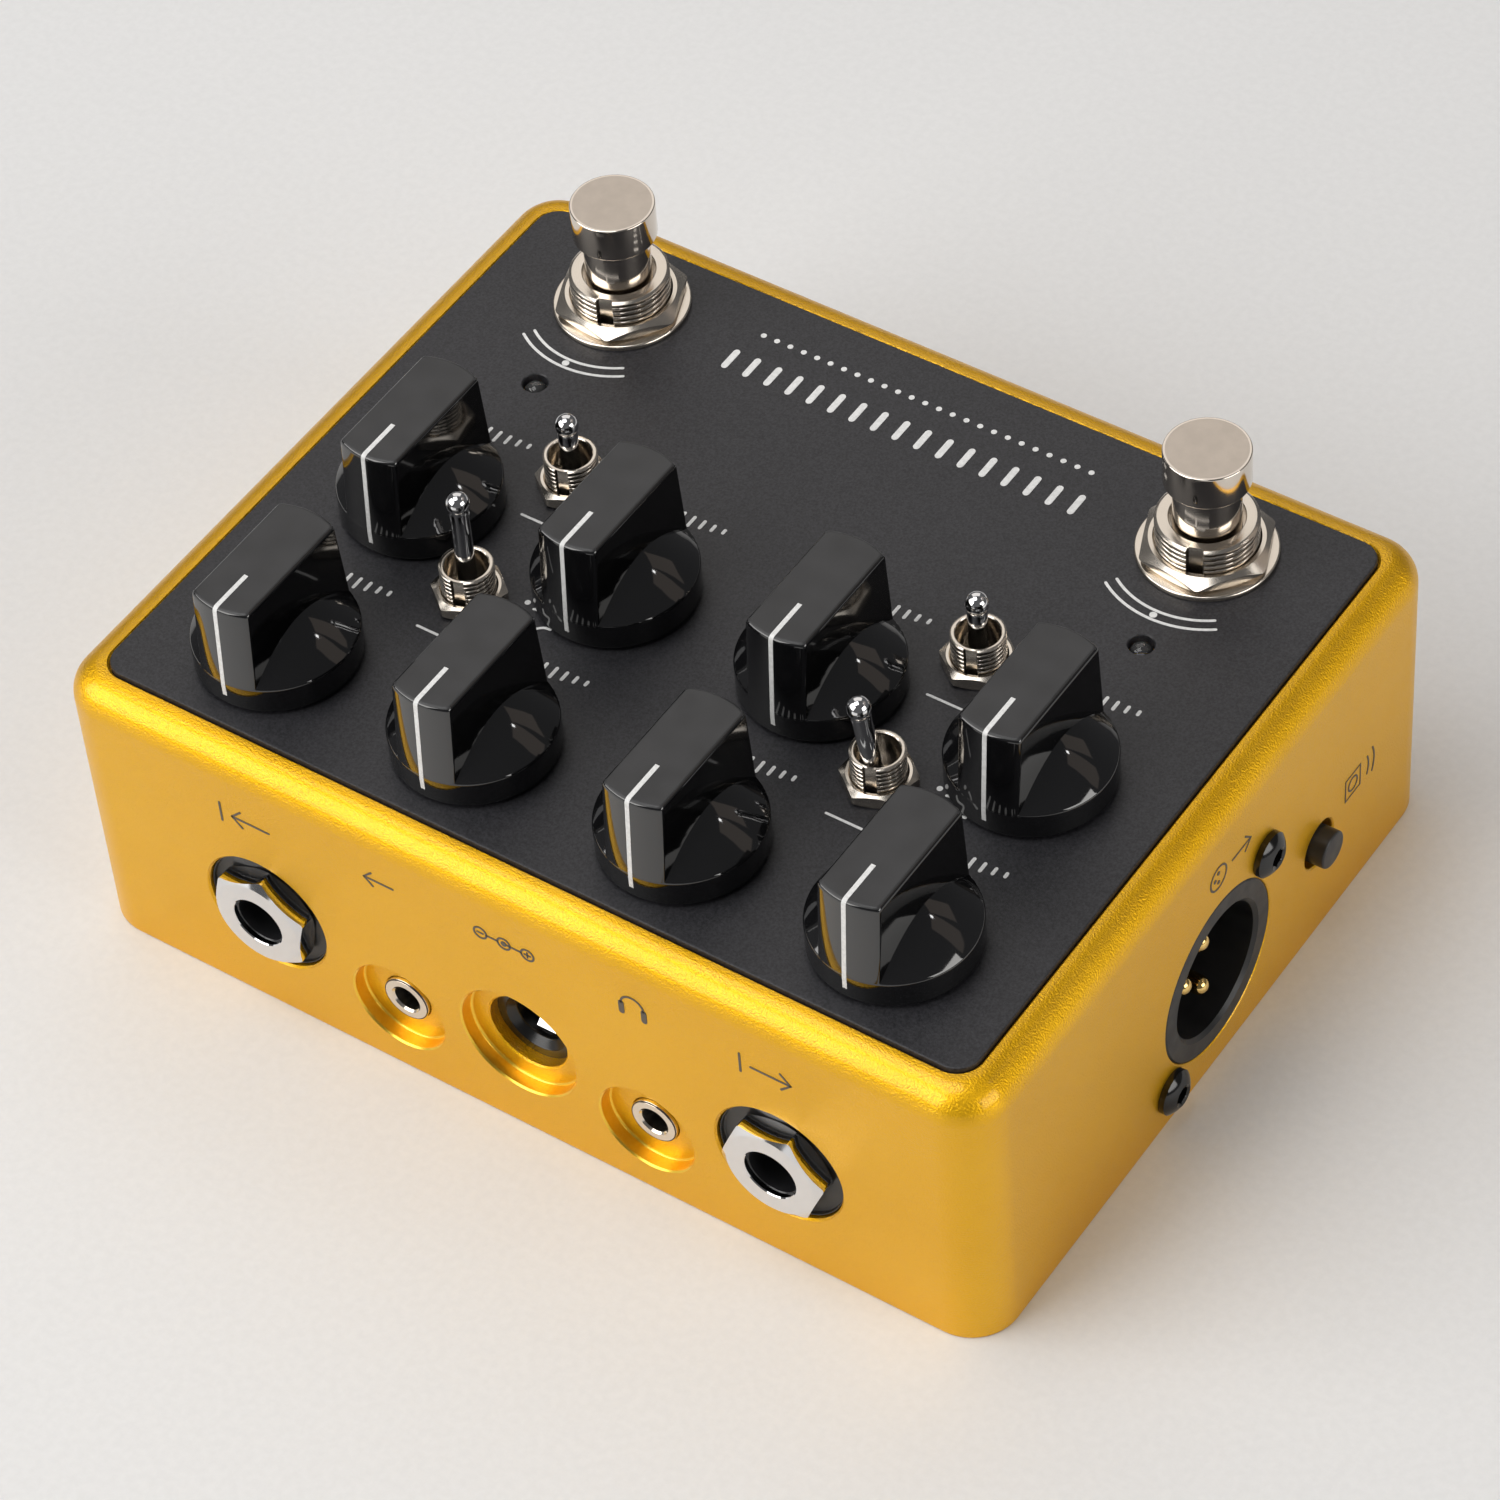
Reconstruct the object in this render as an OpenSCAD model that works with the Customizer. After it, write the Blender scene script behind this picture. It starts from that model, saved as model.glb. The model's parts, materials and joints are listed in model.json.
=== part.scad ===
// Bass preamp pedal with a balanced direct output. Millimetres, +Z up.
// Origin: centre of the underside. +X right, -Y the footswitch side, +Y the jack side.

/* [Body] */
// Width of the body along X
body_w = 125; // [110:1:140]
// Depth of the body along Y
body_d = 98; // [88:1:110]
// Height of the body's rim
rim_z = 41; // [36:0.5:48]
// Radius of the upright corners
corner_r = 6; // [5:0.5:8]
// Radius of the top edge
edge_r = 4; // [2:0.5:4.5]
// Thickness of the side walls
wall = 3; // [2.5:0.1:4]
// Thickness of the jack wall
jack_wall = 3.5; // [3.2:0.1:4.5]
// Underside of the roof inside
roof_z = 36.9; // [34:0.1:38]

/* [Plates] */
// Margin between the body side and the top plate
plate_inset = 4.25; // [4:0.05:6]
// Thickness of the top plate
plate_t = 1.5; // [1:0.1:2]
// Height of the top plate's face
top_z = 41.4; // [38:0.1:44]
// Corner radius of the top plate
plate_r = 3; // [1:0.5:6]
// Gap around the top plate and the base plate
plate_gap = 0.15; // [0.1:0.05:0.3]
// Thickness of the base plate
base_t = 2; // [1.5:0.1:3]
// Inset of the corner screw posts from the body sides
post_inset = 7; // [6.5:0.1:9]

/* [Knobs] */
// Distance of the outer knob columns from the middle
knob_x_out = 41.6; // [38:0.1:44]
// Distance of the inner knob columns from the middle
knob_x_in = 14; // [12:0.1:18]
// Y of the knob row beside the jacks
knob_y_jack = 32.6; // [28:0.1:34]
// Y of the other knob row
knob_y_mid = 4.9; // [0:0.1:10]
// Radius of the knob skirt
knob_r = 9.8; // [8:0.1:11]
// Radius of the grip at its top
grip_r = 9; // [7:0.1:10]
// Width of the grip
grip_w = 7.9; // [6:0.1:9]
// Height of the knob
knob_h = 14.8; // [12:0.1:18]
// Gap between knob and plate
knob_gap = 0.4; // [0.2:0.1:0.8]
// Width of the index groove
groove_w = 0.6; // [0.4:0.1:1.4]
// Radius of the control shafts
shaft_r = 3; // [2.9:0.05:3.1]

/* [Toggles] */
// Distance of the toggle switches from the middle
toggle_x = 27.85; // [24:0.05:30]
// Y of the tone-shape toggles
toggle_y_jack = 14.5; // [12:0.1:18]
// Y of the frequency toggles
toggle_y_foot = -6.1; // [-10:0.1:-2]
// Radius of the threaded toggle bushing
toggle_r = 3.2; // [3:0.05:3.5]
// Lean of a lever at either end of its travel, degrees
lever_tilt = 10; // [6:1:11]

/* [Footswitches] */
// Distance of the footswitches from the middle
foot_x = 40.6; // [36:0.1:44]
// Y of the footswitches
foot_y = -34.5; // [-38:0.1:-30]
// Radius of the threaded footswitch bushing
foot_r = 6.05; // [5.9:0.05:6.2]
// Radius of the button cap
cap_r = 5.1; // [4.6:0.1:6]
// Height of the cap's top above the plate
cap_top = 16.2; // [12:0.1:18]

/* [Sockets] */
// X of the input jack
input_x = 34.9; // [30:0.1:40]
// X of the output jack
output_x = -35.7; // [-40:0.1:-30]
// Height of the two big jacks
jack_z = 16.3; // [12:0.1:20]
// X of the auxiliary jack
aux_x = 16.8; // [14:0.1:20]
// X of the headphone jack
phones_x = -17.6; // [-20:0.1:-14]
// Height of the two small jacks
mini_z = 10.5; // [9:0.1:14]
// X of the power inlet
dc_x = -0.4; // [-3:0.1:3]
// Height of the power inlet
dc_z = 14.8; // [12:0.1:18]
// Y of the balanced connector
xlr_y = 0; // [-10:0.1:10]
// Height of the balanced connector
xlr_z = 15.4; // [14.5:0.1:17]
// Y of the push button
push_y = -22.7; // [-28:0.1:-20]
// Height of the push button
push_z = 14.9; // [12:0.1:20]

/* [Hidden] */
$fn = 48;

gold = [0.85, 0.62, 0.16];
black = [0.12, 0.12, 0.13];
nickel = [0.78, 0.75, 0.7];
brass = [0.85, 0.68, 0.3];
green = [0.1, 0.35, 0.2];

plate_w = body_w - 2 * plate_inset;
plate_d = body_d - 2 * plate_inset;
base_lip = 1.6;                       // body wall left beside the base plate
base_w = body_w - 2 * (base_lip + plate_gap);
base_d = body_d - 2 * (base_lip + plate_gap);
back_y = body_d / 2;                  // outer face of the jack wall
side_x = -body_w / 2;                 // outer face of the connector wall
in_y = back_y - jack_wall;            // inner face of the jack wall
in_x = side_x + wall;                 // inner face of the connector wall

posts = [for (sx = [-1, 1], sy = [-1, 1])
  [sx * (body_w / 2 - post_inset), sy * (body_d / 2 - post_inset - 0.5)]];
post_r = 4.2;
screw_r = 1.45;

p_drive = [knob_x_out, knob_y_jack];
p_level = [knob_x_in, knob_y_jack];
p_blend = [-knob_x_in, knob_y_jack];
p_master = [-knob_x_out, knob_y_jack];
p_treble = [knob_x_out, knob_y_mid];
p_high = [knob_x_in, knob_y_mid];
p_low = [-knob_x_in, knob_y_mid];
p_bass = [-knob_x_out, knob_y_mid];
pots = [p_drive, p_level, p_blend, p_master, p_treble, p_high, p_low, p_bass];
t_grunt = [toggle_x, toggle_y_jack];
t_attack = [-toggle_x, toggle_y_jack];
t_high = [toggle_x, toggle_y_foot];
t_low = [-toggle_x, toggle_y_foot];
toggles = [t_grunt, t_attack, t_high, t_low];
feet = [[foot_x, foot_y], [-foot_x, foot_y]];
led_x = 41.8;
led_y = -18;
led_r = 1.45;

board_t = 1.6;
board_top = 28.8;                     // control board, component side up
board_low = board_top - board_t;
io_top = 7;                           // jack board
spacers = [[46, 24], [24, 24], [-24, 24], [-47, 24]];

bush_r = 3.5;                         // control bushing
bush_top = top_z + 3.6;
rotor_r = 5.3;
rotor_z = [30.5, 33.5];
knob_z = top_z + knob_gap;
rim_h = 3.6;                          // knob skirt rim
cone_h = 4;                           // rise of the knob's cheeks
hollow_r = 6.4;                       // clears the control nut
hollow_h = 5;
shaft_top = top_z + 12.6;
flat_x = 1.5;                         // flat on the shaft, from its axis

pivot_z = top_z - 2.2;
toggle_top = top_z + 5.4;
toggle_bore = 2.6;
ball_r = 2.3;
long_tip = 15.2 + 2.2;                // from pivot to the centre of the lever tip
short_tip = 10 + 2.2;

foot_top = top_z + 5.6;               // top of the footswitch bushing
foot_bore = 4.06;
foot_travel = 2.8;
neck_r = 4;
cap_h = 4.65;
chamber_r = 5;
chamber_z = 25.5;
step_z = top_z - 3;
flange_r = 4.7;
flange_z = [step_z - 1.8, step_z - 0.3];

jack_bore = 3.25;
jack_hole = 8.3;
jack_bush = 4.7;
nut_face = 1.8;                       // nut standing out of the wall
nut_t = 3;
nut_flats = 12;
mini_bore = 1.8;
mini_recess = 6.3;
recess_d = 1.9;
dc_recess = 7.85;
dc_hole = 5.3;

xlr_flange = 11.35;
xlr_cup = 8.5;
xlr_floor = side_x + 15;
xlr_back = side_x + 25;
xlr_screw = [[-10.45, 10.05], [10.45, -10.05]];
xlr_pins = [[0, 3.81], [0, -3.81], [3.81, 0]];
pin_tip = 2.55;

push_r = 2.4;
push_end = side_x - 1.9;
push_travel = 1.4;

// ---------- shared shapes ----------
module rounded(w, d, r) {
  square([w - 2 * r, d], center = true);
  square([w, d - 2 * r], center = true);
  for (sx = [-1, 1], sy = [-1, 1])
    translate([sx * (w / 2 - r), sy * (d / 2 - r)]) circle(r);
}
module slab(w, d, r, z0, z1) {
  translate([0, 0, z0]) linear_extrude(z1 - z0) rounded(w, d, r);
}
module rod(p, r, z0, z1) {
  translate([p[0], p[1], z0]) cylinder(r = r, h = z1 - z0);
}
module hex(p, flats, z0, z1, turn = 0) {
  translate([p[0], p[1], z0]) rotate(turn)
    cylinder(r = flats / sqrt(3), h = z1 - z0, $fn = 6);
}
module box(p, q) {
  translate(p) cube([q[0] - p[0], q[1] - p[1], q[2] - p[2]]);
}
// rod along Y between two Y values
module y_rod(x, z, r, y0, y1) {
  translate([x, y1, z]) rotate([90, 0, 0]) cylinder(r = r, h = y1 - y0);
}
// rod along X between two X values
module x_rod(y, z, r, x0, x1) {
  translate([x0, y, z]) rotate([0, 90, 0]) cylinder(r = r, h = x1 - x0);
}
// half profile: upright side at x = w, top edge rounded
module half_profile(w, h, e) {
  square([w - e, h]);
  translate([w - e, 0]) square([e, h - e]);
  translate([w - e, h - e]) intersection() {
    circle(e);
    square(e + 1);
  }
}
// box with round upright corners and a round top edge
module soft_box(w, d, h, r, e) {
  for (s = [0, 180]) {
    rotate(s) translate([-(w / 2 - r), 0, 0]) rotate([90, 0, 90])
      linear_extrude(w - 2 * r) half_profile(d / 2, h, e);
    rotate(s) translate([w / 2 - r, d / 2 - r, 0]) rotate([90, 0, 0])
      linear_extrude(d - 2 * r) half_profile(r, h, e);
  }
  for (c = [[1, 1, 0], [-1, 1, 90], [-1, -1, 180], [1, -1, 270]])
    translate([c[0] * (w / 2 - r), c[1] * (d / 2 - r), 0]) rotate(c[2])
      rotate_extrude(angle = 90) half_profile(r, h, e);
}

// ---------- body ----------
module top_holes(z0, z1) {
  for (p = pots) rod(p, bush_r + 0.1, z0, z1);
  for (p = toggles) rod(p, toggle_r + 0.1, z0, z1);
  for (p = feet) rod(p, foot_r + 0.1, z0, z1);
  for (s = [-1, 1]) rod([s * led_x, led_y], led_r + 0.1, z0, z1);
}
module enclosure() {
  color(gold) difference() {
    union() {
      difference() {
        soft_box(body_w, body_d, rim_z, corner_r, edge_r);
        translate([0, (wall - jack_wall) / 2, 0])
          slab(body_w - 2 * wall, body_d - wall - jack_wall, 3, -1, roof_z);
      }
      for (p = posts) rod(p, post_r, base_t, roof_z + 0.5);
    }
    slab(base_w + 2 * plate_gap, base_d + 2 * plate_gap, 4.4, -1, base_t);
    slab(plate_w + 2 * plate_gap, plate_d + 2 * plate_gap, plate_r + plate_gap,
      top_z - plate_t, rim_z + 1);
    top_holes(roof_z - 1, rim_z);
    for (p = posts) rod(p, 1.5, base_t - 1, 14);
    for (x = [input_x, output_x]) y_rod(x, jack_z, jack_hole, in_y - 1, back_y + 1);
    for (x = [aux_x, phones_x]) {
      y_rod(x, mini_z, mini_recess, back_y - recess_d, back_y + 1);
      y_rod(x, mini_z, 3.1, in_y - 1, back_y);
    }
    y_rod(dc_x, dc_z, dc_recess, back_y - recess_d, back_y + 1);
    y_rod(dc_x, dc_z, dc_hole, in_y - 1, back_y);
    x_rod(xlr_y, xlr_z, xlr_flange + 0.05, side_x - 1, in_x + 1);
    for (s = xlr_screw) x_rod(xlr_y + s[0], xlr_z + s[1], 1.6, side_x - 1, in_x + 1);
    x_rod(push_y, push_z, 3.2, side_x - 1, in_x + 1);
  }
}
module top_plate() {
  color(black) difference() {
    slab(plate_w, plate_d, plate_r, top_z - plate_t, top_z);
    top_holes(top_z - plate_t - 1, top_z + 1);
  }
}
module base_plate() {
  color(black) difference() {
    slab(base_w, base_d, 4.25, 0, base_t);
    for (p = posts) {
      rod(p, 1.7, -1, base_t + 1);
      translate([p[0], p[1], -0.01]) cylinder(r1 = 3.11, r2 = 1.7, h = 1.51);
    }
  }
}
module base_screws() {
  color(black) for (p = posts) difference() {
    union() {
      translate([p[0], p[1], 0.1]) cylinder(r1 = 3, r2 = screw_r, h = 1.55);
      rod(p, screw_r, 1, 10);
    }
    hex(p, 2, -1, 1.1);
  }
}

// ---------- boards ----------
module control_board() {
  color(green) translate([-57, -24.5, board_low]) cube([114, 61.3, board_t]);
}
module io_board() {
  color(green) translate([-50, 19, io_top - board_t]) cube([100, 26, board_t]);
}
module board_spacers() {
  color(brass) for (p = spacers) hex(p, 5, io_top, board_low, 30);
}
module board_header() {
  color(black) {
    translate([-10.2, 21.4, io_top]) cube([20.4, 5.2, 8.6]);
    for (i = [0:7], y = [22.73, 25.27])
      rod([-8.89 + i * 2.54, y], 0.4, io_top + 8.6, board_low);
  }
}
module board_parts() {
  color(black) {
    for (x = [-46, -30, -14, 14, 30, 46], y = [-14, 12])
      translate([x - 3, y - 2.5, board_low - 1.7]) cube([6, 5, 1.7]);
    for (x = [-6, 6], y = [-14, 12]) rod([x, y], 2.6, board_low - 6.5, board_low);
  }
}

// ---------- sockets ----------
module big_jack(x) {
  difference() {
    union() {
      box([x - 7.8, 22, jack_z - 6.3], [x + 7.8, in_y, jack_z + 6.3]);
      y_rod(x, jack_z, jack_bush, in_y - 1, back_y + nut_face - 0.8);
      for (s = [-1, 1]) box([x + s * 6 - 0.6, 26, io_top], [x + s * 6 + 0.6, 40, jack_z - 6]);
    }
    y_rod(x, jack_z, jack_bore, 22.8, back_y + 5);
  }
}
module input_jack() { color(black) big_jack(input_x); }
module output_jack() { color(black) big_jack(output_x); }
module jack_collars() {
  color(black) for (x = [input_x, output_x]) difference() {
    y_rod(x, jack_z, jack_hole - 0.1, in_y, back_y + nut_face - nut_t);
    y_rod(x, jack_z, jack_bush + 0.05, in_y - 1, back_y + 1);
  }
}
module jack_nuts() {
  color(nickel) for (x = [input_x, output_x]) difference() {
    translate([x, back_y + nut_face, jack_z]) rotate([90, 0, 0])
      intersection() {
        rotate(38) cylinder(r = nut_flats / sqrt(3), h = nut_t, $fn = 6);
        rotate_extrude() polygon([[0, 0], [6.3, 0], [7, 0.4], [7, nut_t], [0, nut_t]]);
      }
    y_rod(x, jack_z, jack_bush + 0.05, in_y, back_y + nut_face - 0.8);
    y_rod(x, jack_z, jack_bore, in_y, back_y + 4);
  }
}
module mini_jack(x) {
  difference() {
    union() {
      box([x - 4, in_y - 12.5, io_top], [x + 4, in_y, mini_z + 3.4]);
      y_rod(x, mini_z, 3, in_y - 1, back_y - recess_d + 0.5);
    }
    y_rod(x, mini_z, mini_bore, in_y - 11.5, back_y + 1);
    translate([x, back_y - recess_d + 0.51, mini_z]) rotate([90, 0, 0])
      cylinder(r1 = mini_bore + 0.5, r2 = mini_bore, h = 0.5);
  }
}
module aux_jack() { color(nickel) mini_jack(aux_x); }
module phones_jack() { color(nickel) mini_jack(phones_x); }
module dc_jack() {
  color(black) difference() {
    union() {
      box([dc_x - 5.5, in_y - 13, dc_z - 5.4], [dc_x + 5.5, in_y, dc_z + 5.4]);
      for (s = [-1, 1])
        box([dc_x + s * 4 - 0.6, in_y - 10, io_top], [dc_x + s * 4 + 0.6, in_y - 3, dc_z - 5]);
    }
    y_rod(dc_x, dc_z, 3.15, in_y - 10.5, in_y + 1);
    translate([dc_x, in_y + 0.01, dc_z]) rotate([90, 0, 0]) cylinder(r1 = 3.9, r2 = 3.15, h = 0.8);
    y_rod(dc_x, dc_z, 1.05, in_y - 12, in_y);
  }
}
module dc_pin() {
  color(nickel) {
    y_rod(dc_x, dc_z, 1.05, in_y - 12, in_y - 2.2);
    translate([dc_x, in_y - 2.2, dc_z]) sphere(r = 1.05);
  }
}
module xlr_housing() {
  color(black) difference() {
    union() {
      x_rod(xlr_y, xlr_z, xlr_flange, side_x, in_x);
      x_rod(xlr_y, xlr_z, 11.9, in_x, in_x + 2.5);
      x_rod(xlr_y, xlr_z, 10, in_x, xlr_back);
      for (s = xlr_screw) x_rod(xlr_y + s[0], xlr_z + s[1], 3.1, in_x, in_x + 2.5);
    }
    x_rod(xlr_y, xlr_z, xlr_cup, side_x - 1, xlr_floor);
    translate([side_x - 0.01, xlr_y, xlr_z]) rotate([0, 90, 0])
      cylinder(r1 = xlr_cup + 0.5, r2 = xlr_cup, h = 0.5);
    for (p = xlr_pins) x_rod(xlr_y + p[0], xlr_z + p[1], 1.2, xlr_floor - 1, xlr_back + 1);
    for (s = xlr_screw) x_rod(xlr_y + s[0], xlr_z + s[1], 1.5, in_x - 1, in_x + 4);
  }
}
module xlr_contacts() {
  color(brass) for (i = [0:2]) {
    p = xlr_pins[i];
    x_rod(xlr_y + p[0], xlr_z + p[1], 1.2, side_x + pin_tip, xlr_back + 1.2);
    translate([side_x + pin_tip, xlr_y + p[0], xlr_z + p[1]]) sphere(r = 1.2);
    x_rod(xlr_y + p[0], xlr_z + p[1], 0.5, xlr_back, xlr_back + 2.5 + 1.6 * i);
    rod([xlr_back + 2.5 + 1.6 * i, xlr_y + p[0]], 0.5, xlr_z + p[1] - 0.5, board_low);
  }
}
module xlr_screws() {
  color(black) for (s = xlr_screw) translate([side_x, xlr_y + s[0], xlr_z + s[1]]) rotate([0, 90, 0])
    difference() {
      union() {
        cylinder(r = screw_r, h = wall + 2.4);
        intersection() {
          translate([0, 0, -1.65]) cylinder(r = 2.85, h = 1.65);
          translate([0, 0, 1.9]) sphere(r = 3.9);
        }
      }
      translate([0, 0, -2]) cylinder(r = 2 / sqrt(3), h = 1.5, $fn = 6);
    }
}
module push_switch_housing() {
  color(black) difference() {
    union() {
      box([in_x, push_y - 4, push_z - 4], [in_x + 8.5, push_y + 4, push_z + 4]);
      for (x = [2, 4.5, 7]) rod([in_x + x, push_y + 1], 0.5, push_z + 3, board_low);
    }
    x_rod(push_y, push_z, push_r + 0.06, in_x - 1, in_x + 3);
    x_rod(push_y, push_z, 3.4, in_x + 2, in_x + 7.2);
  }
}
module push_button() {
  color(black) {
    x_rod(push_y, push_z, push_r, push_end + 0.3, in_x + 2.3);
    translate([push_end, push_y, push_z]) rotate([0, 90, 0])
      cylinder(r1 = push_r - 0.3, r2 = push_r, h = 0.3);
    x_rod(push_y, push_z, 3.1, in_x + 2.3, in_x + 3.1);
    x_rod(push_y, push_z, 1.2, in_x + 3.1, in_x + 5.3);
  }
}
module push_spring() {
  color(nickel) difference() {
    x_rod(push_y, push_z, 2.6, in_x + 3.1, in_x + 7.2);
    x_rod(push_y, push_z, 1.9, in_x + 2, in_x + 8);
  }
}

// ---------- controls ----------
module pot_bodies() {
  color(nickel) for (p = pots) difference() {
    union() {
      rod(p, 8, board_top, roof_z);
      rod(p, bush_r, roof_z, bush_top);
    }
    rod(p, rotor_r + 0.3, rotor_z[0] - 0.3, rotor_z[1] + 0.3);
    rod(p, shaft_r + 0.05, rotor_z[1], bush_top + 1);
  }
}
module pot_nuts() {
  color(nickel) for (p = pots) difference() {
    hex(p, 10, top_z, top_z + 2.2, 15);
    rod(p, bush_r + 0.05, top_z - 1, top_z + 3);
  }
}
module shaft(p) {
  color(nickel) difference() {
    union() {
      rod(p, rotor_r, rotor_z[0], rotor_z[1]);
      rod(p, shaft_r, rotor_z[1], shaft_top);
    }
    translate([p[0] - 4, p[1] - flat_x - 3, knob_z + hollow_h]) cube([8, 3, 12]);
  }
}
module knob(p) {
  lean = atan((knob_r - grip_r) / (knob_h - rim_h));
  color(black) translate([p[0], p[1], knob_z]) difference() {
    union() {
      rotate_extrude() polygon([[0, 0], [knob_r - 0.3, 0], [knob_r, 0.3], [knob_r, rim_h],
        [knob_r - 0.4, rim_h + 0.35], [grip_w / 2 - 0.6, rim_h + cone_h], [0, rim_h + cone_h]]);
      intersection() {
        rotate_extrude() polygon([[0, 0.5], [knob_r, 0.5], [knob_r, rim_h], [grip_r, knob_h - 0.5],
          [grip_r - 0.15, knob_h - 0.15], [grip_r - 0.5, knob_h], [0, knob_h]]);
        translate([0, 12, 0]) rotate([90, 0, 0]) linear_extrude(24)
          polygon([[-grip_w / 2, 0], [grip_w / 2, 0], [grip_w / 2, knob_h - 0.5],
            [grip_w / 2 - 0.15, knob_h - 0.15], [grip_w / 2 - 0.5, knob_h],
            [-grip_w / 2 + 0.5, knob_h], [-grip_w / 2 + 0.15, knob_h - 0.15],
            [-grip_w / 2, knob_h - 0.5]]);
      }
    }
    translate([0, 0, -1]) cylinder(r = hollow_r, h = hollow_h + 1);
    difference() {
      cylinder(r = shaft_r, h = shaft_top - knob_z);
      translate([-4, -flat_x - 3, 0]) cube([8, 3, 20]);
    }
    translate([-groove_w / 2, 3.1, knob_h - 0.35]) cube([groove_w, 8, 2]);
    translate([-groove_w / 2, knob_r - 0.35, rim_h]) rotate([lean, 0, 0])
      translate([0, 0, -0.4]) cube([groove_w, 3, knob_h]);
    translate([-groove_w / 2, knob_r - 0.35, 1.4]) cube([groove_w, 3, rim_h - 1.2]);
  }
}

// ---------- toggles ----------
module toggle_housings() {
  color(black) for (p = toggles) difference() {
    box([p[0] - 3.5, p[1] - 6.5, board_top], [p[0] + 3.5, p[1] + 6.5, roof_z]);
    rod(p, 2.9, board_top + 1.2, roof_z + 1);
  }
}
module toggle_bushings() {
  color(nickel) for (p = toggles) difference() {
    rod(p, toggle_r, roof_z, toggle_top);
    rod(p, toggle_bore, pivot_z + 2, toggle_top + 1);
    rod(p, ball_r + 0.06, roof_z - 1, toggle_top);
  }
}
module toggle_nuts() {
  color(nickel) for (p = toggles) difference() {
    hex(p, 8, top_z, top_z + 1.9, 22);
    rod(p, toggle_r + 0.05, top_z - 1, top_z + 3);
  }
}
module lever(p, tip, tilt) {
  color(nickel) translate([p[0], p[1], pivot_z]) rotate([tilt, 0, 0]) {
    sphere(r = ball_r);
    cylinder(r1 = 1.05, r2 = 1.3, h = tip);
    translate([0, 0, tip]) sphere(r = 1.4);
    translate([0, 0, -5.5]) cylinder(r = 0.9, h = 5);
  }
}

// ---------- footswitches ----------
module footswitch_housings() {
  color(black) for (p = feet) difference() {
    union() {
      box([p[0] - 8.5, p[1] - 8.5, 23.5], [p[0] + 8.5, p[1] + 8.5, roof_z]);
      for (dx = [-5, 0, 5], dy = [-5, 0, 5])
        box([p[0] + dx - 1, p[1] + dy - 0.4, 19.5], [p[0] + dx + 1, p[1] + dy + 0.4, 24]);
    }
    rod(p, chamber_r, chamber_z, roof_z + 1);
  }
}
module footswitch_bushings() {
  color(nickel) for (p = feet) difference() {
    rod(p, foot_r, roof_z, foot_top);
    rod(p, foot_bore, step_z - 1, foot_top + 1);
    rod(p, chamber_r, roof_z - 1, step_z);
    translate([p[0], p[1], foot_top - 0.5]) cylinder(r1 = foot_bore, r2 = foot_bore + 0.5, h = 0.51);
    translate([p[0], p[1], top_z]) rotate(105) translate([foot_r - 0.8, -1.1, 0]) cube([3, 2.2, 10]);
  }
}
module footswitch_nuts() {
  color(nickel) for (p = feet) difference() {
    hex(p, 14.5, top_z + 0.7, top_z + 2.4, 52);
    rod(p, foot_r + 0.05, top_z, top_z + 4);
  }
}
module footswitch_washers() {
  color(nickel) for (p = feet) difference() {
    rod(p, 8.35, top_z, top_z + 0.7);
    rod(p, foot_r + 0.05, top_z - 1, top_z + 1);
  }
}
module plunger(p) {
  z = top_z + cap_top;
  color(nickel) translate([p[0], p[1], 0]) rotate_extrude()
    polygon([[0, flange_z[0]], [flange_r, flange_z[0]], [flange_r, flange_z[1]],
      [neck_r, flange_z[1]], [neck_r, z - cap_h], [cap_r, z - cap_h], [cap_r, z - 0.5],
      [cap_r - 0.15, z - 0.15], [cap_r - 0.5, z], [0, z]]);
}
module foot_spring(p) {
  color(nickel) difference() {
    rod(p, 4.4, chamber_z, flange_z[0]);
    rod(p, 3.6, chamber_z - 1, flange_z[0] + 1);
  }
}
module leds() {
  color([0.9, 0.9, 0.92]) for (s = [-1, 1]) translate([s * led_x, led_y, 0]) {
    translate([0, 0, top_z - 6.4]) cylinder(r = led_r, h = 4.6);
    translate([0, 0, top_z - 1.8]) sphere(r = led_r);
    translate([0, 0, top_z - 6.9]) cylinder(r = 1.6, h = 1);
    for (dx = [-1, 1]) translate([dx, 0, board_top]) cylinder(r = 0.3, h = 6);
  }
}

enclosure();
top_plate();
base_plate();
base_screws();
control_board();
io_board();
board_spacers();
board_header();
board_parts();
input_jack();
output_jack();
jack_collars();
jack_nuts();
aux_jack();
phones_jack();
dc_jack();
dc_pin();
xlr_housing();
xlr_contacts();
xlr_screws();
push_switch_housing();
pot_bodies();
pot_nuts();
toggle_housings();
toggle_bushings();
toggle_nuts();
footswitch_housings();
footswitch_bushings();
footswitch_nuts();
footswitch_washers();
leds();
knob(p_drive);  // knob_drive
knob(p_level);  // knob_level
knob(p_blend);  // knob_blend
knob(p_master);  // knob_master
knob(p_treble);  // knob_treble
knob(p_high);  // knob_high_mids
knob(p_low);  // knob_low_mids
knob(p_bass);  // knob_bass
shaft(p_drive);  // shaft_drive
shaft(p_level);  // shaft_level
shaft(p_blend);  // shaft_blend
shaft(p_master);  // shaft_master
shaft(p_treble);  // shaft_treble
shaft(p_high);  // shaft_high_mids
shaft(p_low);  // shaft_low_mids
shaft(p_bass);  // shaft_bass
lever(t_grunt, long_tip, 0);  // lever_grunt
lever(t_attack, long_tip, -lever_tilt);  // lever_attack
lever(t_high, short_tip, 0);  // lever_high_mid_frequency
lever(t_low, short_tip, 0);  // lever_low_mid_frequency
plunger(feet[0]);  // plunger_bypass
plunger(feet[1]);  // plunger_distortion
foot_spring(feet[0]);  // spring_bypass
foot_spring(feet[1]);  // spring_distortion
push_button();
push_spring();
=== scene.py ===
import json
import math

import bmesh
import bpy
from mathutils import Matrix, Vector


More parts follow.
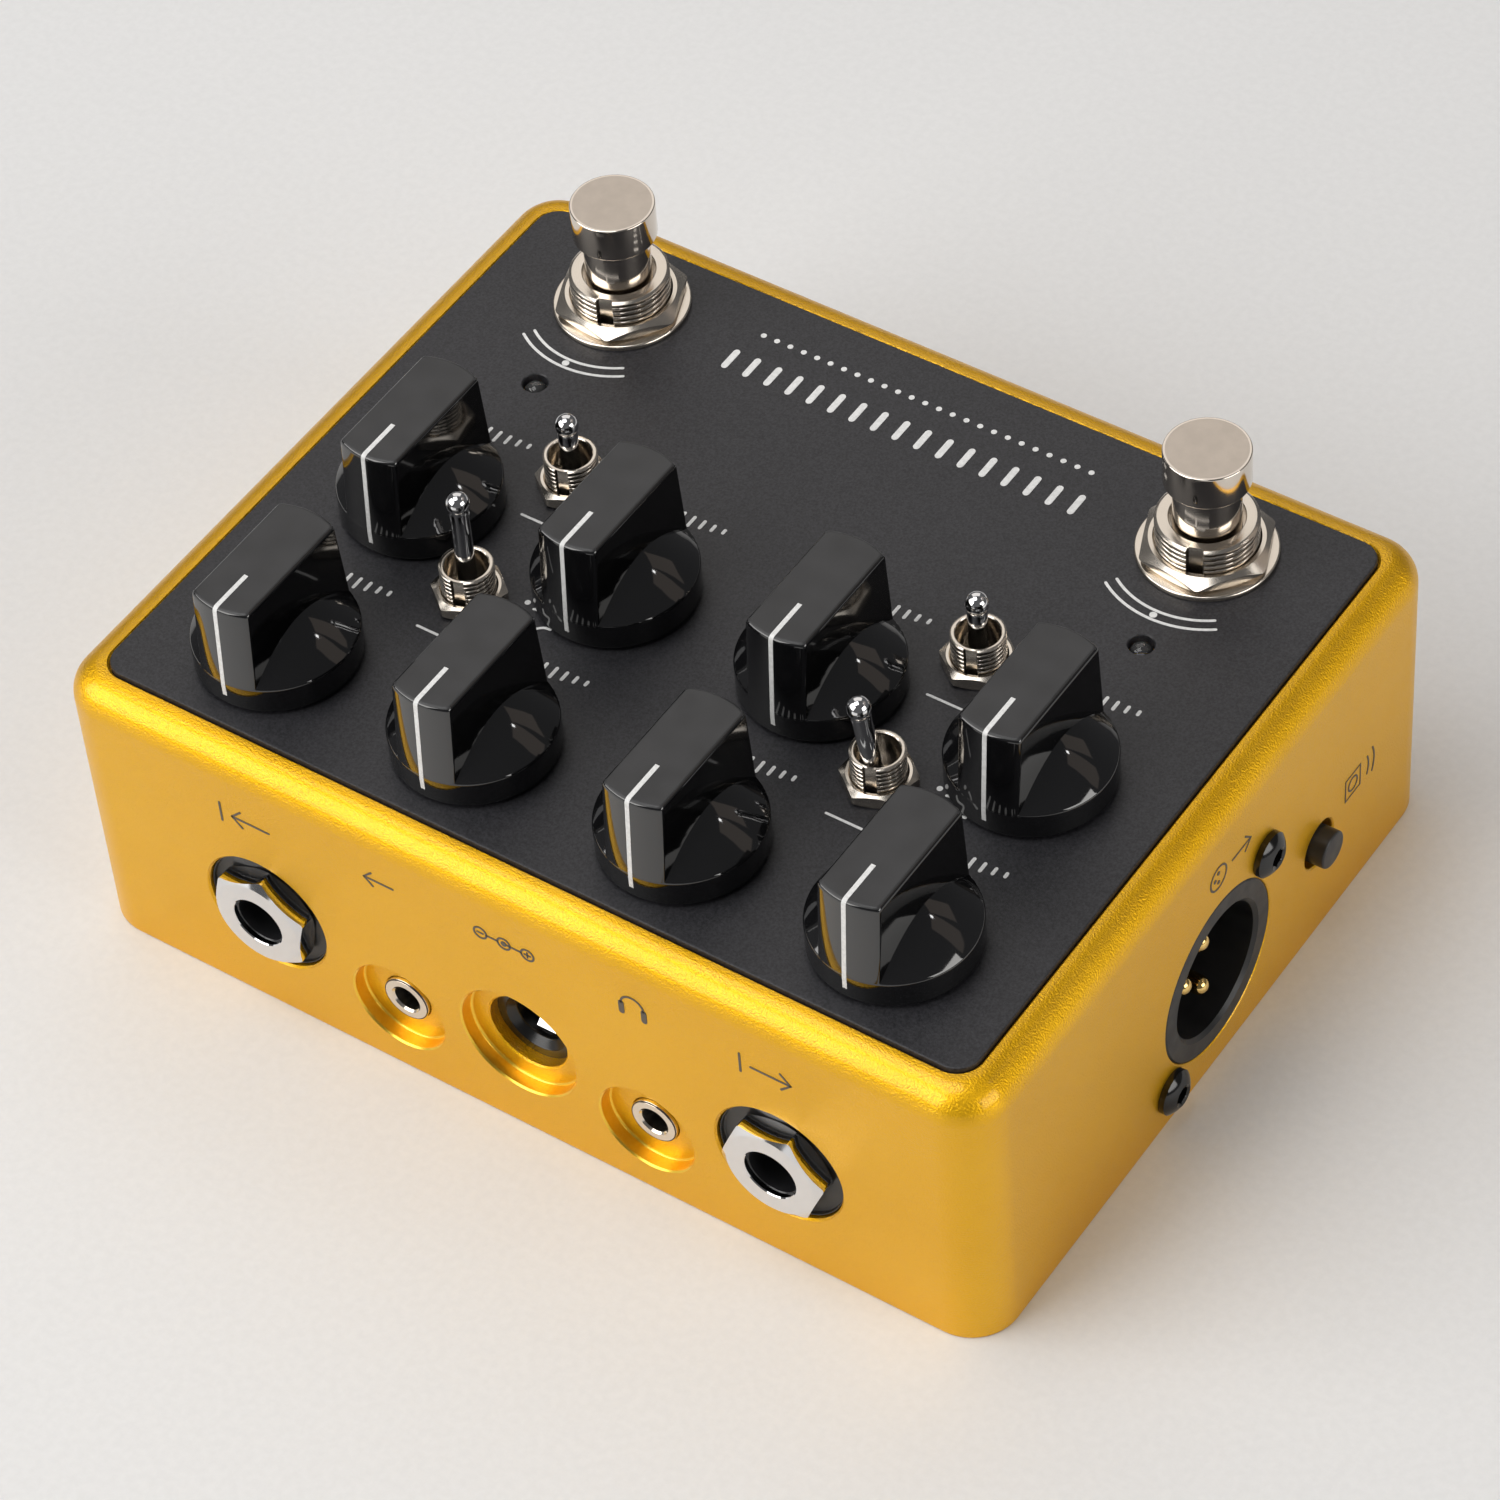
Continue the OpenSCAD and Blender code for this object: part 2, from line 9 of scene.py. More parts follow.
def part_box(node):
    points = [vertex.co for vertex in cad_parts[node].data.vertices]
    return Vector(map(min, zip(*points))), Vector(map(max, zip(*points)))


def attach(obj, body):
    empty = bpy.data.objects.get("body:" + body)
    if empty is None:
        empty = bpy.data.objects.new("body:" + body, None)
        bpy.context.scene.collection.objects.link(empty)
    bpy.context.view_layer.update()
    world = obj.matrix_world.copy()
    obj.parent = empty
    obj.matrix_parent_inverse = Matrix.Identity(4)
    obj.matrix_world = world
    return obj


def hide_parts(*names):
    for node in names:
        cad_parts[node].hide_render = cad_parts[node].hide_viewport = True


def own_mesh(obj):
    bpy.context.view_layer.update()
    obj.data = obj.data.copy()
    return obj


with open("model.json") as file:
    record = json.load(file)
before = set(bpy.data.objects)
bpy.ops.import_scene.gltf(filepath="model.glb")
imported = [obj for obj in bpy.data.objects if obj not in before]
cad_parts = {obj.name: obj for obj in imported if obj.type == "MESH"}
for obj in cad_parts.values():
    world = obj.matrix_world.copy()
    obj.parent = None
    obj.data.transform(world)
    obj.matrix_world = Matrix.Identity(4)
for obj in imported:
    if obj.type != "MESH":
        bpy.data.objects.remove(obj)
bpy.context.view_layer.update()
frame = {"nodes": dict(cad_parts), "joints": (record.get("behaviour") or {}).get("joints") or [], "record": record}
MM = 0.001
TAU = 2 * math.pi

# ---------------------------------------------------------------- camera
AZIMUTH, ELEVATION, ROLL, DISTANCE = 217.55, 47.574, -5.065, 0.64955
TARGET = Vector((0.0003, 0.0007, 0.0178))
a, e, t = math.radians(AZIMUTH), math.radians(ELEVATION), math.radians(ROLL)
back = Vector((math.sin(a) * math.cos(e), -math.cos(a) * math.cos(e), math.sin(e)))
level = Vector((math.cos(a), math.sin(a), 0))
rise = back.cross(level)
cam_x = level * math.cos(t) + rise * math.sin(t)
cam_y = rise * math.cos(t) - level * math.sin(t)
cam = bpy.data.objects.new("camera", bpy.data.cameras.new("camera"))
bpy.context.scene.collection.objects.link(cam)
cam.matrix_world = Matrix.Translation(TARGET + back * DISTANCE) @ Matrix(
    (cam_x, cam_y, back)
).transposed().to_4x4()
cam.data.sensor_width = 36
cam.data.lens = 133.65
cam.data.clip_start, cam.data.clip_end = 0.01, 20
bpy.context.scene.camera = cam


# ---------------------------------------------------------------- materials
class Mat:
    """A Principled material with object coordinates at hand."""

    def __init__(self, name, **sockets):
        self.m = bpy.data.materials.new(name)
        self.m.use_nodes = True
        self.nt = self.m.node_tree
        self.bsdf = self.nt.nodes["Principled BSDF"]
        self.obj = self.nt.nodes.new("ShaderNodeTexCoord").outputs["Object"]
        for k, v in sockets.items():
            k = k.replace("_", " ")
            self.bsdf.inputs[k].default_value = (*v, 1) if k.endswith("Color") else v

    def node(self, kind, inputs=(), **attrs):
        n = self.nt.nodes.new("ShaderNode" + kind)
        for k, v in attrs.items():
            setattr(n, k, v)
        for k, v in dict(inputs).items():
            if isinstance(v, bpy.types.NodeSocket):
                self.nt.links.new(v, n.inputs[k])
            else:
                n.inputs[k].default_value = v
        return n

    def noise(self, scale, detail=3, rough=0.5):
        return self.node(
            "TexNoise", {"Vector": self.obj, "Scale": scale, "Detail": detail, "Roughness": rough}
        ).outputs["Fac"]

    def stretched(self, sx, sy, sz):
        return self.node("Mapping", {"Vector": self.obj, "Scale": (sx, sy, sz)}).outputs["Vector"]

    def span(self, fac, lo, hi, a=0.35, b=0.65):
        return self.node(
            "MapRange", {"Value": fac, "From Min": a, "From Max": b, "To Min": lo, "To Max": hi}
        ).outputs["Result"]

    def mix(self, fac, c1, c2):
        """Colour between c1 and c2. The Mix node's colour sockets are found by number."""
        return self.node("Mix", {0: fac, 6: (*c1, 1), 7: (*c2, 1)}, data_type="RGBA").outputs[2]

    def to(self, socket, value):
        self.nt.links.new(value, self.bsdf.inputs[socket])
        return self

    def bump(self, height, distance, strength=1.0):
        n = self.node("Bump", {"Height": height, "Distance": distance, "Strength": strength})
        return self.to("Normal", n.outputs["Normal"])


def gold():
    k = Mat("gold_anodised", Metallic=1.0, Coat_Weight=0.33, Coat_Roughness=0.18, Coat_IOR=1.6)
    big, fine = k.noise(38, 4), k.noise(4300, 2, 0.5)
    k.to("Base Color", k.mix(k.span(big, 0.0, 1.0), (0.86, 0.470, 0.008), (0.90, 0.503, 0.014)))
    k.to("Roughness", k.span(k.noise(420, 3), 0.44, 0.475))
    return k.bump(fine, 0.00012, 1.0).m


def gold_cut_painted_light():
    """The turned walls of the round recesses: a finer cut, with a brighter, paler gold that is painted light for
    the lit recesses.
    """
    k = Mat("gold_cut_painted_light", Metallic=1.0, Coat_Weight=0.3, Coat_Roughness=0.2)
    fine = k.noise(2600, 3)
    k.to("Base Color", k.mix(k.span(fine, 0.0, 1.0), (0.93, 0.60, 0.055), (0.95, 0.64, 0.075)))
    k.to("Roughness", k.span(k.noise(500, 3), 0.28, 0.34))
    return k.bump(fine, 0.00001, 0.6).m


def plate():
    k = Mat("plate_black", Specular_IOR_Level=0.5)
    grain = k.noise(3300, 4, 0.65)
    dark, light = (0.009, 0.009, 0.011), (0.030, 0.0295, 0.034)
    k.to("Base Color", k.mix(k.span(grain, 0.0, 1.0), dark, light))
    k.to("Roughness", k.span(k.noise(900, 3), 0.42, 0.46))
    return k.bump(grain, 0.00005, 0.6).m


def plastic(name, colour, rough, grain=1800, depth=0.00001, spec=0.5):
    k = Mat(name, Specular_IOR_Level=spec)
    n = k.noise(grain, 3, 0.6)
    lift = tuple(min(1, c * 1.35 + 0.002) for c in colour)
    k.to("Base Color", k.mix(k.span(k.noise(grain / 12, 3), 0.0, 1.0), colour, lift))
    k.to("Roughness", k.span(k.noise(grain / 6, 3), rough * 0.88, rough * 1.15))
    return k.bump(n, depth, 0.5).m


def metal(name, colour, rough, grain=900, depth=0.000004, spread=0.25):
    k = Mat(name, Metallic=1.0)
    n = k.noise(grain, 4, 0.6)
    dark = tuple(c * 0.93 for c in colour)
    k.to("Base Color", k.mix(k.span(k.noise(grain / 9, 3), 0.0, 1.0), dark, colour))
    k.to("Roughness", k.span(n, rough * (1 - spread), rough * (1 + spread)))
    return k.bump(n, depth, 0.4).m


def brushed(name, colour, rough, along="x"):
    k = Mat(name, Metallic=1.0)
    v = k.stretched(*((60, 3000, 3000) if along == "x" else (3000, 3000, 60)))
    n = k.node("TexNoise", {"Vector": v, "Scale": 1.0, "Detail": 4}).outputs["Fac"]
    dark = tuple(c * 0.85 for c in colour)
    k.to("Base Color", k.mix(k.span(n, 0.0, 1.0), dark, colour))
    k.to("Roughness", k.span(n, rough * 0.8, rough * 1.2))
    return k.bump(n, 0.000004, 0.4).m


def printed(name, colour):
    k = Mat(name, Roughness=0.55)
    n = k.noise(2400, 3)
    dark = tuple(c * 0.86 for c in colour)
    k.to("Base Color", k.mix(k.span(n, 0.0, 1.0), dark, colour))
    return k.bump(n, 0.000008, 0.3).m


def board():
    k = Mat("board_green", Roughness=0.35)
    rows = k.node(
        "TexWave",
        {"Vector": k.obj, "Scale": 90.0, "Distortion": 6.0, "Detail": 2.0, "Detail Scale": 1.4},
        bands_direction="DIAGONAL",
    ).outputs["Fac"]
    bare, track = (0.008, 0.055, 0.03), (0.02, 0.11, 0.055)
    k.to("Base Color", k.mix(k.span(rows, 0.0, 1.0, 0.72, 0.78), bare, track))
    return k.bump(k.span(rows, 0.0, 1.0, 0.7, 0.8), 0.00004, 0.5).m


def lens():
    k = Mat("led_clear", Transmission_Weight=0.96, IOR=1.5)
    n = k.noise(700, 2)
    k.to("Base Color", k.mix(k.span(n, 0.0, 1.0), (0.93, 0.93, 0.95), (1, 1, 1)))
    k.to("Roughness", k.span(n, 0.015, 0.035))
    return k.bump(n, 0.000003, 0.2).m


GOLD, GOLD_CUT_PAINTED_LIGHT, PLATE, BOARD, LENS = gold(), gold_cut_painted_light(), plate(), board(), lens()
KNOB_SIDE = plastic("knob_gloss", (0.0035, 0.0035, 0.004), 0.055, 500, 0.000002, 1.0)
# darker, less reflective copy of the gloss knob plastic for the grip's flat sides: painted shade for the dark they
# mirror
KNOB_CHEEK_SHADE = plastic("knob_cheek_painted_shade", (0.002, 0.002, 0.0022), 0.07, 500, 0.000002, 0.4)
KNOB_TOP = plastic("knob_satin", (0.022, 0.022, 0.023), 0.42, 3600, 0.00002)
COLLAR = plastic("collar_black", (0.016, 0.016, 0.0165), 0.40, 2600, 0.00001)
SHELL = plastic("shell_black", (0.011, 0.011, 0.0115), 0.40, 2600, 0.00001)
JACK = plastic("jack_black", (0.008, 0.008, 0.009), 0.42)
INLET = plastic("inlet_black", (0.004, 0.004, 0.004), 0.27, 900, 0.000002)
SWITCH = plastic("switch_black", (0.012, 0.012, 0.014), 0.5)
BLACK_STEEL = plastic("black_steel", (0.004, 0.004, 0.004), 0.13, 3000, 0.000003, 0.6)
NICKEL = metal("nickel", (0.78, 0.71, 0.62), 0.21, 500, 0.000001, 0.12)
NICKEL_BRIGHT = metal("nickel_bright", (0.78, 0.71, 0.63), 0.10, 500, 0.000001, 0.12)
NICKEL_SATIN = metal("nickel_satin", (0.56, 0.495, 0.43), 0.32, 5200, 0.0000015, 0.08)
# dark nickel for the thread grooves: painted shade for the shadow down in the grooves
NICKEL_GROOVE_SHADE = metal("nickel_groove_painted_shade", (0.085, 0.07, 0.055), 0.4, 700, 0.000002, 0.2)
CHROME = metal("chrome", (0.78, 0.78, 0.79), 0.06, 500, 0.000001)
CONTACT = metal("gold_contacts", (0.90, 0.62, 0.22), 0.14)
BRASS = brushed("brass_parts", (0.72, 0.52, 0.22), 0.3, "z")
STEEL = brushed("pot_steel", (0.55, 0.55, 0.54), 0.35)
WIRE = metal("spring_steel", (0.6, 0.6, 0.6), 0.25)
WHITE = printed("print_white", (0.80, 0.80, 0.79))
GREY = printed("print_grey", (0.11, 0.085, 0.06))


# ---------------------------------------------------------------- mesh tools
UNTURNED = Matrix.Identity(4)


def to_mesh(bm, name):
    """A mesh from a bmesh, welded and with its normals outward."""
    bmesh.ops.remove_doubles(bm, verts=bm.verts, dist=2e-7)
    bmesh.ops.recalc_face_normals(bm, faces=bm.faces)
    me = bpy.data.meshes.new(name)
    bm.to_mesh(me)
    bm.free()
    return me


def finish_mesh(bm, name, mats, body, replaces=(), sharp=32):
    """Turns a bmesh into a piece that rides on a body."""
    return finish_data(to_mesh(bm, name), name, mats, body, replaces, sharp)


def finish_data(me, name, mats, body, replaces=(), sharp=32, weighted=False):
    """Turns a mesh into a piece that rides on a body. Edges over sharp degrees stay sharp."""
    me.shade_smooth()
    me.set_sharp_from_angle(angle=math.radians(sharp))
    for m in mats if isinstance(mats, (list, tuple)) else [mats]:
        me.materials.append(m)
    o = bpy.data.objects.new(name, me)
    bpy.context.scene.collection.objects.link(o)
    if weighted:
        w = o.modifiers.new("normals", "WEIGHTED_NORMAL")
        w.keep_sharp, w.weight = True, 80
    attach(o, body)
    if replaces:
        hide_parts(*replaces)
    return o


def arc(c, r, a0, a1, n=24):
    """Points on a circular arc about c, from a0 to a1 degrees, in n steps."""
    turns = [math.radians(a0 + (a1 - a0) * i / n) for i in range(n + 1)]
    return [(c[0] + r * math.cos(t), c[1] + r * math.sin(t)) for t in turns]


def nose(r, top):
    """Profile of a hemisphere of radius r whose pole is at top."""
    return arc((0, top - r), r, 0, 80, 8) + [(0, top)]


def rod(r, z0, z1):
    """Profile of a plain cylinder."""
    return [(0, z0), (r, z0), (r, z1), (0, z1)]


def rings(bm, rows, at=UNTURNED, closed=False, mat=0):
    """Skins rows of points in mm. A row of one point is a pole.

    closed joins the last row to the first.
    """
    vs = [[bm.verts.new(at @ (Vector(p) * MM)) for p in row] for row in rows]
    pairs = list(zip(vs, vs[1:])) + ([(vs[-1], vs[0])] if closed else [])
    made = []
    for r1, r2 in pairs:
        n = max(len(r1), len(r2))
        for i in range(n):
            j = (i + 1) % n
            if len(r1) == 1:
                f = (r1[0], r2[j], r2[i])
            elif len(r2) == 1:
                f = (r1[i], r1[j], r2[0])
            else:
                f = (r1[i], r1[j], r2[j], r2[i])
            face = bm.faces.new(f)
            face.material_index = mat
            made.append(face)
    return made


def cap_ends(bm, start, n):
    """Closes the first and the last row of n points among the vertices from start on."""
    bm.verts.ensure_lookup_table()
    vs = list(bm.verts)[start:]
    bm.faces.new(vs[:n][::-1])
    bm.faces.new(vs[-n:])


def ease(points, k=4):
    """Rounds the corners of a path. Points are (x, y) or (x, y, radius)."""
    out = []
    for i, p in enumerate(points):
        r = p[2] if len(p) > 2 else 0
        if r == 0 or i in (0, len(points) - 1):
            out.append((p[0], p[1]))
            continue
        c = Vector(p[:2])
        u, v = Vector(points[i - 1][:2]) - c, Vector(points[i + 1][:2]) - c
        half = u.angle(v) / 2
        cut = min(r / math.tan(half), u.length * 0.499, v.length * 0.499)
        r = cut * math.tan(half)
        u.normalize(), v.normalize()
        mid = c + (u + v).normalized() * (r / math.sin(half))
        a0, sweep = c + u * cut - mid, math.pi - 2 * half
        s = 1 if a0.cross(c + v * cut - mid) > 0 else -1
        for j in range(k + 1):
            q = mid + Matrix.Rotation(s * sweep * j / k, 2) @ a0
            out.append((q.x, q.y))
    return out


def turned(bm, profile, at=UNTURNED, n=96, closed=False, shape=None, mat=0):
    """Revolves (radius, height) rows about Z. A radius of 0 is a pole.

    shape(radius, height, angle) returns the radius and height at that angle.
    """
    rows = []
    for r, z in profile:
        if r == 0:
            rows.append([(0, 0, z)])
            continue
        row = []
        for i in range(n):
            th = TAU * i / n
            rr, zz = (r, z) if shape is None else shape(r, z, th)
            row.append((rr * math.cos(th), rr * math.sin(th), zz))
        rows.append(row)
    return rings(bm, rows, at, closed, mat)


HEX = -1  # a profile's radius that stands for a hexagon's outline


def hex_radius(flats, th, turn, soften=0.985):
    """Radius of a hexagon at an angle, its corners just broken."""
    d = (th - math.radians(turn) + math.pi / 6) % (math.pi / 3) - math.pi / 6
    return min(flats / 2 / math.cos(math.pi / 6 - abs(d)), flats / math.sqrt(3) * soften)


def nut(bm, at, flats, bore, z0, z1, turn, chamfer=0.93, lip=None, n=144):
    """Hex nut with turned corners. lip = (radius, thickness) closes the front down to that radius."""
    face_r = flats / 2 * chamfer
    slope = 0.55
    front = [(bore, z0 + 0.12), (bore, z1 - 0.15), (bore + 0.15, z1)]
    if lip:
        r, thick = lip
        front = [(bore, z0 + 0.12), (bore, z1 - thick), (r, z1 - thick), (r, z1 - 0.12), (r + 0.12, z1)]
    prof = [(bore + 0.12, z0)] + front + [(face_r, z1), (HEX, z1), (HEX, z0), (face_r, z0)]

    def shape(r, z, th):
        if r != HEX:
            return r, z
        h = hex_radius(flats, th, turn)
        drop = max(h - face_r, 0.02) * slope
        return h, (z1 - drop if z == z1 else z0 + drop)

    turned(bm, prof, at, n, True, shape)


def thread(radius, pitch, z0, z1, depth, fade=0.35):
    """Shape function of a screw thread between two heights."""

    def shape(r, z, th):
        if r < radius - 0.01 or not z0 <= z <= z1:
            return r, z
        ph = (z / pitch - th / TAU) % 1.0
        cut = depth * max(0.0, 1 - abs(2 * ph - 1) / 0.62)
        ends = min(1.0, (z - z0) / (fade * pitch), (z1 - z) / (fade * pitch))
        return r - cut * max(0.0, ends), z

    return shape


def thread_rows(radius, pitch, z0, z1, per=14):
    """Straight profile with enough rows to carry a thread."""
    n = max(2, round((z1 - z0) / pitch * per))
    return [(radius, z0 + (z1 - z0) * i / n) for i in range(n + 1)]


def notch(radius, depth, width, turn):
    """Shape function of a flat-bottomed keyway along the thread."""

    def shape(r, z, th):
        d = th - math.radians(turn)
        floor = (radius - depth) / max(math.cos(d), 0.2)
        if math.cos(d) > 0.5 and abs(floor * math.sin(d)) < width / 2:
            return min(r, floor), z
        return r, z

    return shape


def threaded(bm, place, prof, radius, pitch, z0, z1, depth, key, inside, groove, n):
    """Turned bushing with a thread and a keyway of (depth, width, turn).

    Profile rows up to the radius inside stay plain. Faces of the thread between the two radii of
    groove take the second material, a dark nickel that paints the shade down in the grooves.
    """
    cut, keyway = thread(radius, pitch, z0, z1, depth), notch(radius, *key)

    def shape(r, z, th):
        if r <= inside or z <= z0 - 0.05:
            return r, z
        return keyway(*cut(r, z, th), th)

    for f in turned(bm, prof, at_xy(place), n, True, shape):
        c = f.calc_center_median() / MM
        if z0 < c.z < z1 and groove[0] < math.hypot(c.x - place[0], c.y - place[1]) < groove[1]:
            f.material_index = 1


def outline(w, d, r, k=14):
    """Rounded rectangle, counter-clockwise."""
    pts = []
    for cx, cy, a0 in ((1, 1, 0), (-1, 1, 90), (-1, -1, 180), (1, -1, 270)):
        pts += arc((cx * (w / 2 - r), cy * (d / 2 - r)), r, a0, a0 + 90, k)
    return pts


def loft(bm, w, d, r, steps, at=UNTURNED, k=14):
    """Closed solid from rounded rectangles; steps are (inset, height)."""
    rows = []
    for inset, z in steps:
        shape = outline(w - 2 * inset, d - 2 * inset, max(r - inset, 0.05), k)
        rows.append([(x, y, z) for x, y in shape])
    start = len(bm.verts)
    rings(bm, rows, at)
    cap_ends(bm, start, len(rows[0]))


def ribbon(bm, path, half, above, below, at=UNTURNED):
    """Strip of half width half along (y, z) points, above and below them in thickness."""
    rows = []
    for i, p in enumerate(path):
        q0, q1 = Vector(path[max(i - 1, 0)]), Vector(path[min(i + 1, len(path) - 1)])
        d = (q1 - q0).normalized()
        nrm = Vector((-d.y, d.x))
        o, q = Vector(p) + nrm * above, Vector(p) - nrm * below
        rows.append([(-half, *o), (half, *o), (half, *q), (-half, *q)])
    start = len(bm.verts)
    rings(bm, rows, at)
    cap_ends(bm, start, 4)


def solid(build):
    """A loose object holding one closed mesh, for a boolean."""
    bm = bmesh.new()
    build(bm)
    o = bpy.data.objects.new("tool", to_mesh(bm, "tool"))
    bpy.context.scene.collection.objects.link(o)
    return o


def turned_solid(profile, at=UNTURNED, n=96):
    return solid(lambda bm: turned(bm, profile, at, n))


def loft_solid(w, d, r, steps, at=UNTURNED, k=14):
    return solid(lambda bm: loft(bm, w, d, r, steps, at, k))


def boolean(base, tools, how="DIFFERENCE"):
    """Applies each tool to base and removes the tools."""
    for tool in tools:
        m = base.modifiers.new("cut", "BOOLEAN")
        m.object, m.operation, m.solver = tool, how, "EXACT"
        dg = bpy.context.evaluated_depsgraph_get()
        me = bpy.data.meshes.new_from_object(base.evaluated_get(dg))
        base.modifiers.clear()
        base.data = me
        bpy.data.objects.remove(tool)
    return base


def take(o):
    """The mesh of a loose object, which is removed."""
    me = o.data
    bpy.data.objects.remove(o)
    return me


def at_xy(p, z=0):
    return Matrix.Translation((p[0] * MM, p[1] * MM, z * MM))


def facing_y(x, z):
    """Local Z points along +Y out of the jack wall; local X is -X and local Y is Z."""
    axes = Matrix(((-1, 0, 0), (0, 0, 1), (0, 1, 0))).to_4x4()
    return Matrix.Translation((x * MM, 0, z * MM)) @ axes


def facing_x(y, z):
    """Local Z points along -X out of the connector wall; local X is -Y and local Y is Z."""
    axes = Matrix(((0, 0, -1), (-1, 0, 0), (0, 1, 0))).to_4x4()
    return Matrix.Translation((0, y * MM, z * MM)) @ axes


# ---------------------------------------------------------------- where things are
def box_mm(node):
    return [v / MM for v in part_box(node)]


def middle(node):
    low, high = box_mm(node)
    return (low + high) / 2


def mount_height(name):
    return next(m for m in frame["record"]["mounts"] if m["name"] == name)["pos_m"][2] / MM


def pivots(kind):
    """Pivot of each joint whose name ends in kind, by the rest of its name."""
    return {
        j["name"][: -len(kind)]: [v / MM for v in j["pos_m"]]
        for j in frame["joints"] if j["name"].endswith(kind)
    }


lo, hi = box_mm("enclosure")
BODY_W, BODY_D, RIM = hi.x - lo.x, hi.y - lo.y, hi.z
BACK, OUT = hi.y, -lo.x
lo, hi = box_mm("top_plate")
PLATE_LO, TOP = lo.z, hi.z
PLATE_W, PLATE_D = hi.x - lo.x, hi.y - lo.y
POT_H = 8.1
ROOF = box_mm("pot_bodies")[0].z + POT_H
KNOBS, LEVERS = pivots("_turn"), pivots("_tilt")
FEET = {n: middle("plunger_" + n) for n in ("bypass", "distortion")}
JACK_X = {n: middle(n + "_jack").x for n in ("input", "output")}
JACK_Z = mount_height("input_socket")
MINI = {n: middle(n + "_jack").x for n in ("aux", "phones")}
MINI_Z = mount_height("aux_socket")
DC = (middle("dc_pin").x, middle("dc_pin").z)
XLR = (middle("xlr_housing").y, middle("xlr_screws").z)
XLR_SCREWS = [(XLR[0] + s * 10.45, XLR[1] - s * 10.05) for s in (-1, 1)]
XLR_PINS = [(XLR[0] + dy, XLR[1] + dz) for dy, dz in ((0, 3.81), (0, -3.81), (3.81, 0))]
PUSH = (middle("push_button").y, middle("push_button").z)
LED_R, LED_HOLE = 1.45, 1.55
LEDS = [(s * (box_mm("leds")[1].x - 1.6), middle("leds").y) for s in (-1, 1)]
# places, radius, steps and chamfer of the holes through the panel
PANEL_HOLES = (
    (KNOBS.values(), 3.6, 48, 0.1), (LEVERS.values(), 3.3, 48, 0.1),
    (FEET.values(), 6.15, 64, 0.1), (LEDS, LED_HOLE, 32, 0.12),
)

# ---------------------------------------------------------------- gold shell
# radii of the rim and of the upright corners, thickness of the walls and of the jack wall
EDGE, CORNER, WALL, JWALL = 4.0, 6.0, 3.0, 3.5
# inside of the jack wall, and the floor and radii of the recesses in it
IN_Y, RECESS_Y = BACK - JWALL, BACK - 1.9
MINI_R, DC_R = 6.3, 7.85


def hole(r, z0, z1, flare=0.25):
    """Cutter that runs out past z1 with a small chamfer at the mouth z1."""
    return [(0, z0), (r, z0), (r, z1 - flare), (r + flare, z1), (r + flare, z1 + 1), (0, z1 + 1)]


def recess(bore, lip, r, cove):
    """Cutter of a round recess in the jack wall, with a coved floor and a hole through it."""
    floor = ease([(bore + lip, RECESS_Y), (r, RECESS_Y, cove), (r, BACK)])[:-1]
    mouth = [(r, BACK - 0.2), (r + 0.2, BACK), (r + 0.2, BACK + 1), (0, BACK + 1)]
    return [(0, IN_Y - 1), (bore, IN_Y - 1), (bore, RECESS_Y - lip)] + floor + mouth


def make_shell():
    rim = [(EDGE - x, RIM - EDGE + z) for x, z in arc((0, 0), EDGE, 0, 90, 15)]
    base = loft_solid(BODY_W, BODY_D, CORNER, [(0.4, 0), (0.1, 0.1), (0, 0.4)] + rim, k=20)
    shift = Matrix.Translation((0, (WALL - JWALL) / 2 * MM, 0))
    mouth = [(0, PLATE_LO), (0, RIM - 0.25), (-0.25, RIM), (-0.25, RIM + 1)]
    # the inside, the step for the base plate and the pocket for the panel
    tools = [
        loft_solid(BODY_W - 2 * WALL, BODY_D - WALL - JWALL, 3, [(0, 1.5), (0, ROOF)], shift, 6),
        loft_solid(BODY_W - 3.2, BODY_D - 3.2, 4.4, [(0, -1), (0, 2)], k=8),
        loft_solid(PLATE_W + 0.3, PLATE_D + 0.3, 3.15, mouth, k=12),
    ]
    for places, r, n, _ in PANEL_HOLES:
        tools += [turned_solid(hole(r, ROOF - 1, PLATE_LO), at_xy(p), n) for p in places]
    tools += [turned_solid(hole(8.3, IN_Y - 1, BACK), facing_y(x, JACK_Z)) for x in JACK_X.values()]
    tools += [turned_solid(recess(3.1, 0.1, MINI_R, 0.3), facing_y(x, MINI_Z)) for x in MINI.values()]
    tools.append(turned_solid(recess(5.3, 0.2, DC_R, 0.35), facing_y(*DC)))
    deep = OUT - WALL - 1
    tools.append(turned_solid(hole(11.42, deep, OUT, 0.12), facing_x(*XLR), 128))
    tools += [turned_solid(hole(1.6, deep, OUT, 0.1), facing_x(*p), 32) for p in XLR_SCREWS]
    tools.append(turned_solid(hole(3.2, deep, OUT, 0.2), facing_x(*PUSH), 64))
    boolean(base, tools)
    posts = [(sx * (BODY_W / 2 - 7), sy * (BODY_D / 2 - 7.5)) for sx in (-1, 1) for sy in (-1, 1)]
    boolean(base, [turned_solid(rod(4.2, 2, ROOF + 0.5), at_xy(p), 48) for p in posts], "UNION")
    screw_hole = [(0, 1), (1.5, 1), (1.5, 13.5), (0, 14)]
    boolean(base, [turned_solid(screw_hole, at_xy(p), 32) for p in posts])
    me = take(base)
    # the walls of the round recesses take the second material, whose brighter, paler gold is painted light
    cuts = [(x, MINI_Z, MINI_R) for x in MINI.values()] + [(*DC, DC_R)]
    for face in me.polygons:
        c = face.center / MM
        on_wall = any(r - 0.4 < math.hypot(c.x - x, c.z - z) < r + 0.3 for x, z, r in cuts)
        if on_wall and RECESS_Y < c.y < BACK - 0.01:
            face.material_index = 1
    return me


shell_mats = [GOLD, GOLD_CUT_PAINTED_LIGHT]
finish_data(make_shell(), "gold_shell", shell_mats, "chassis", ["enclosure"], 30, True)


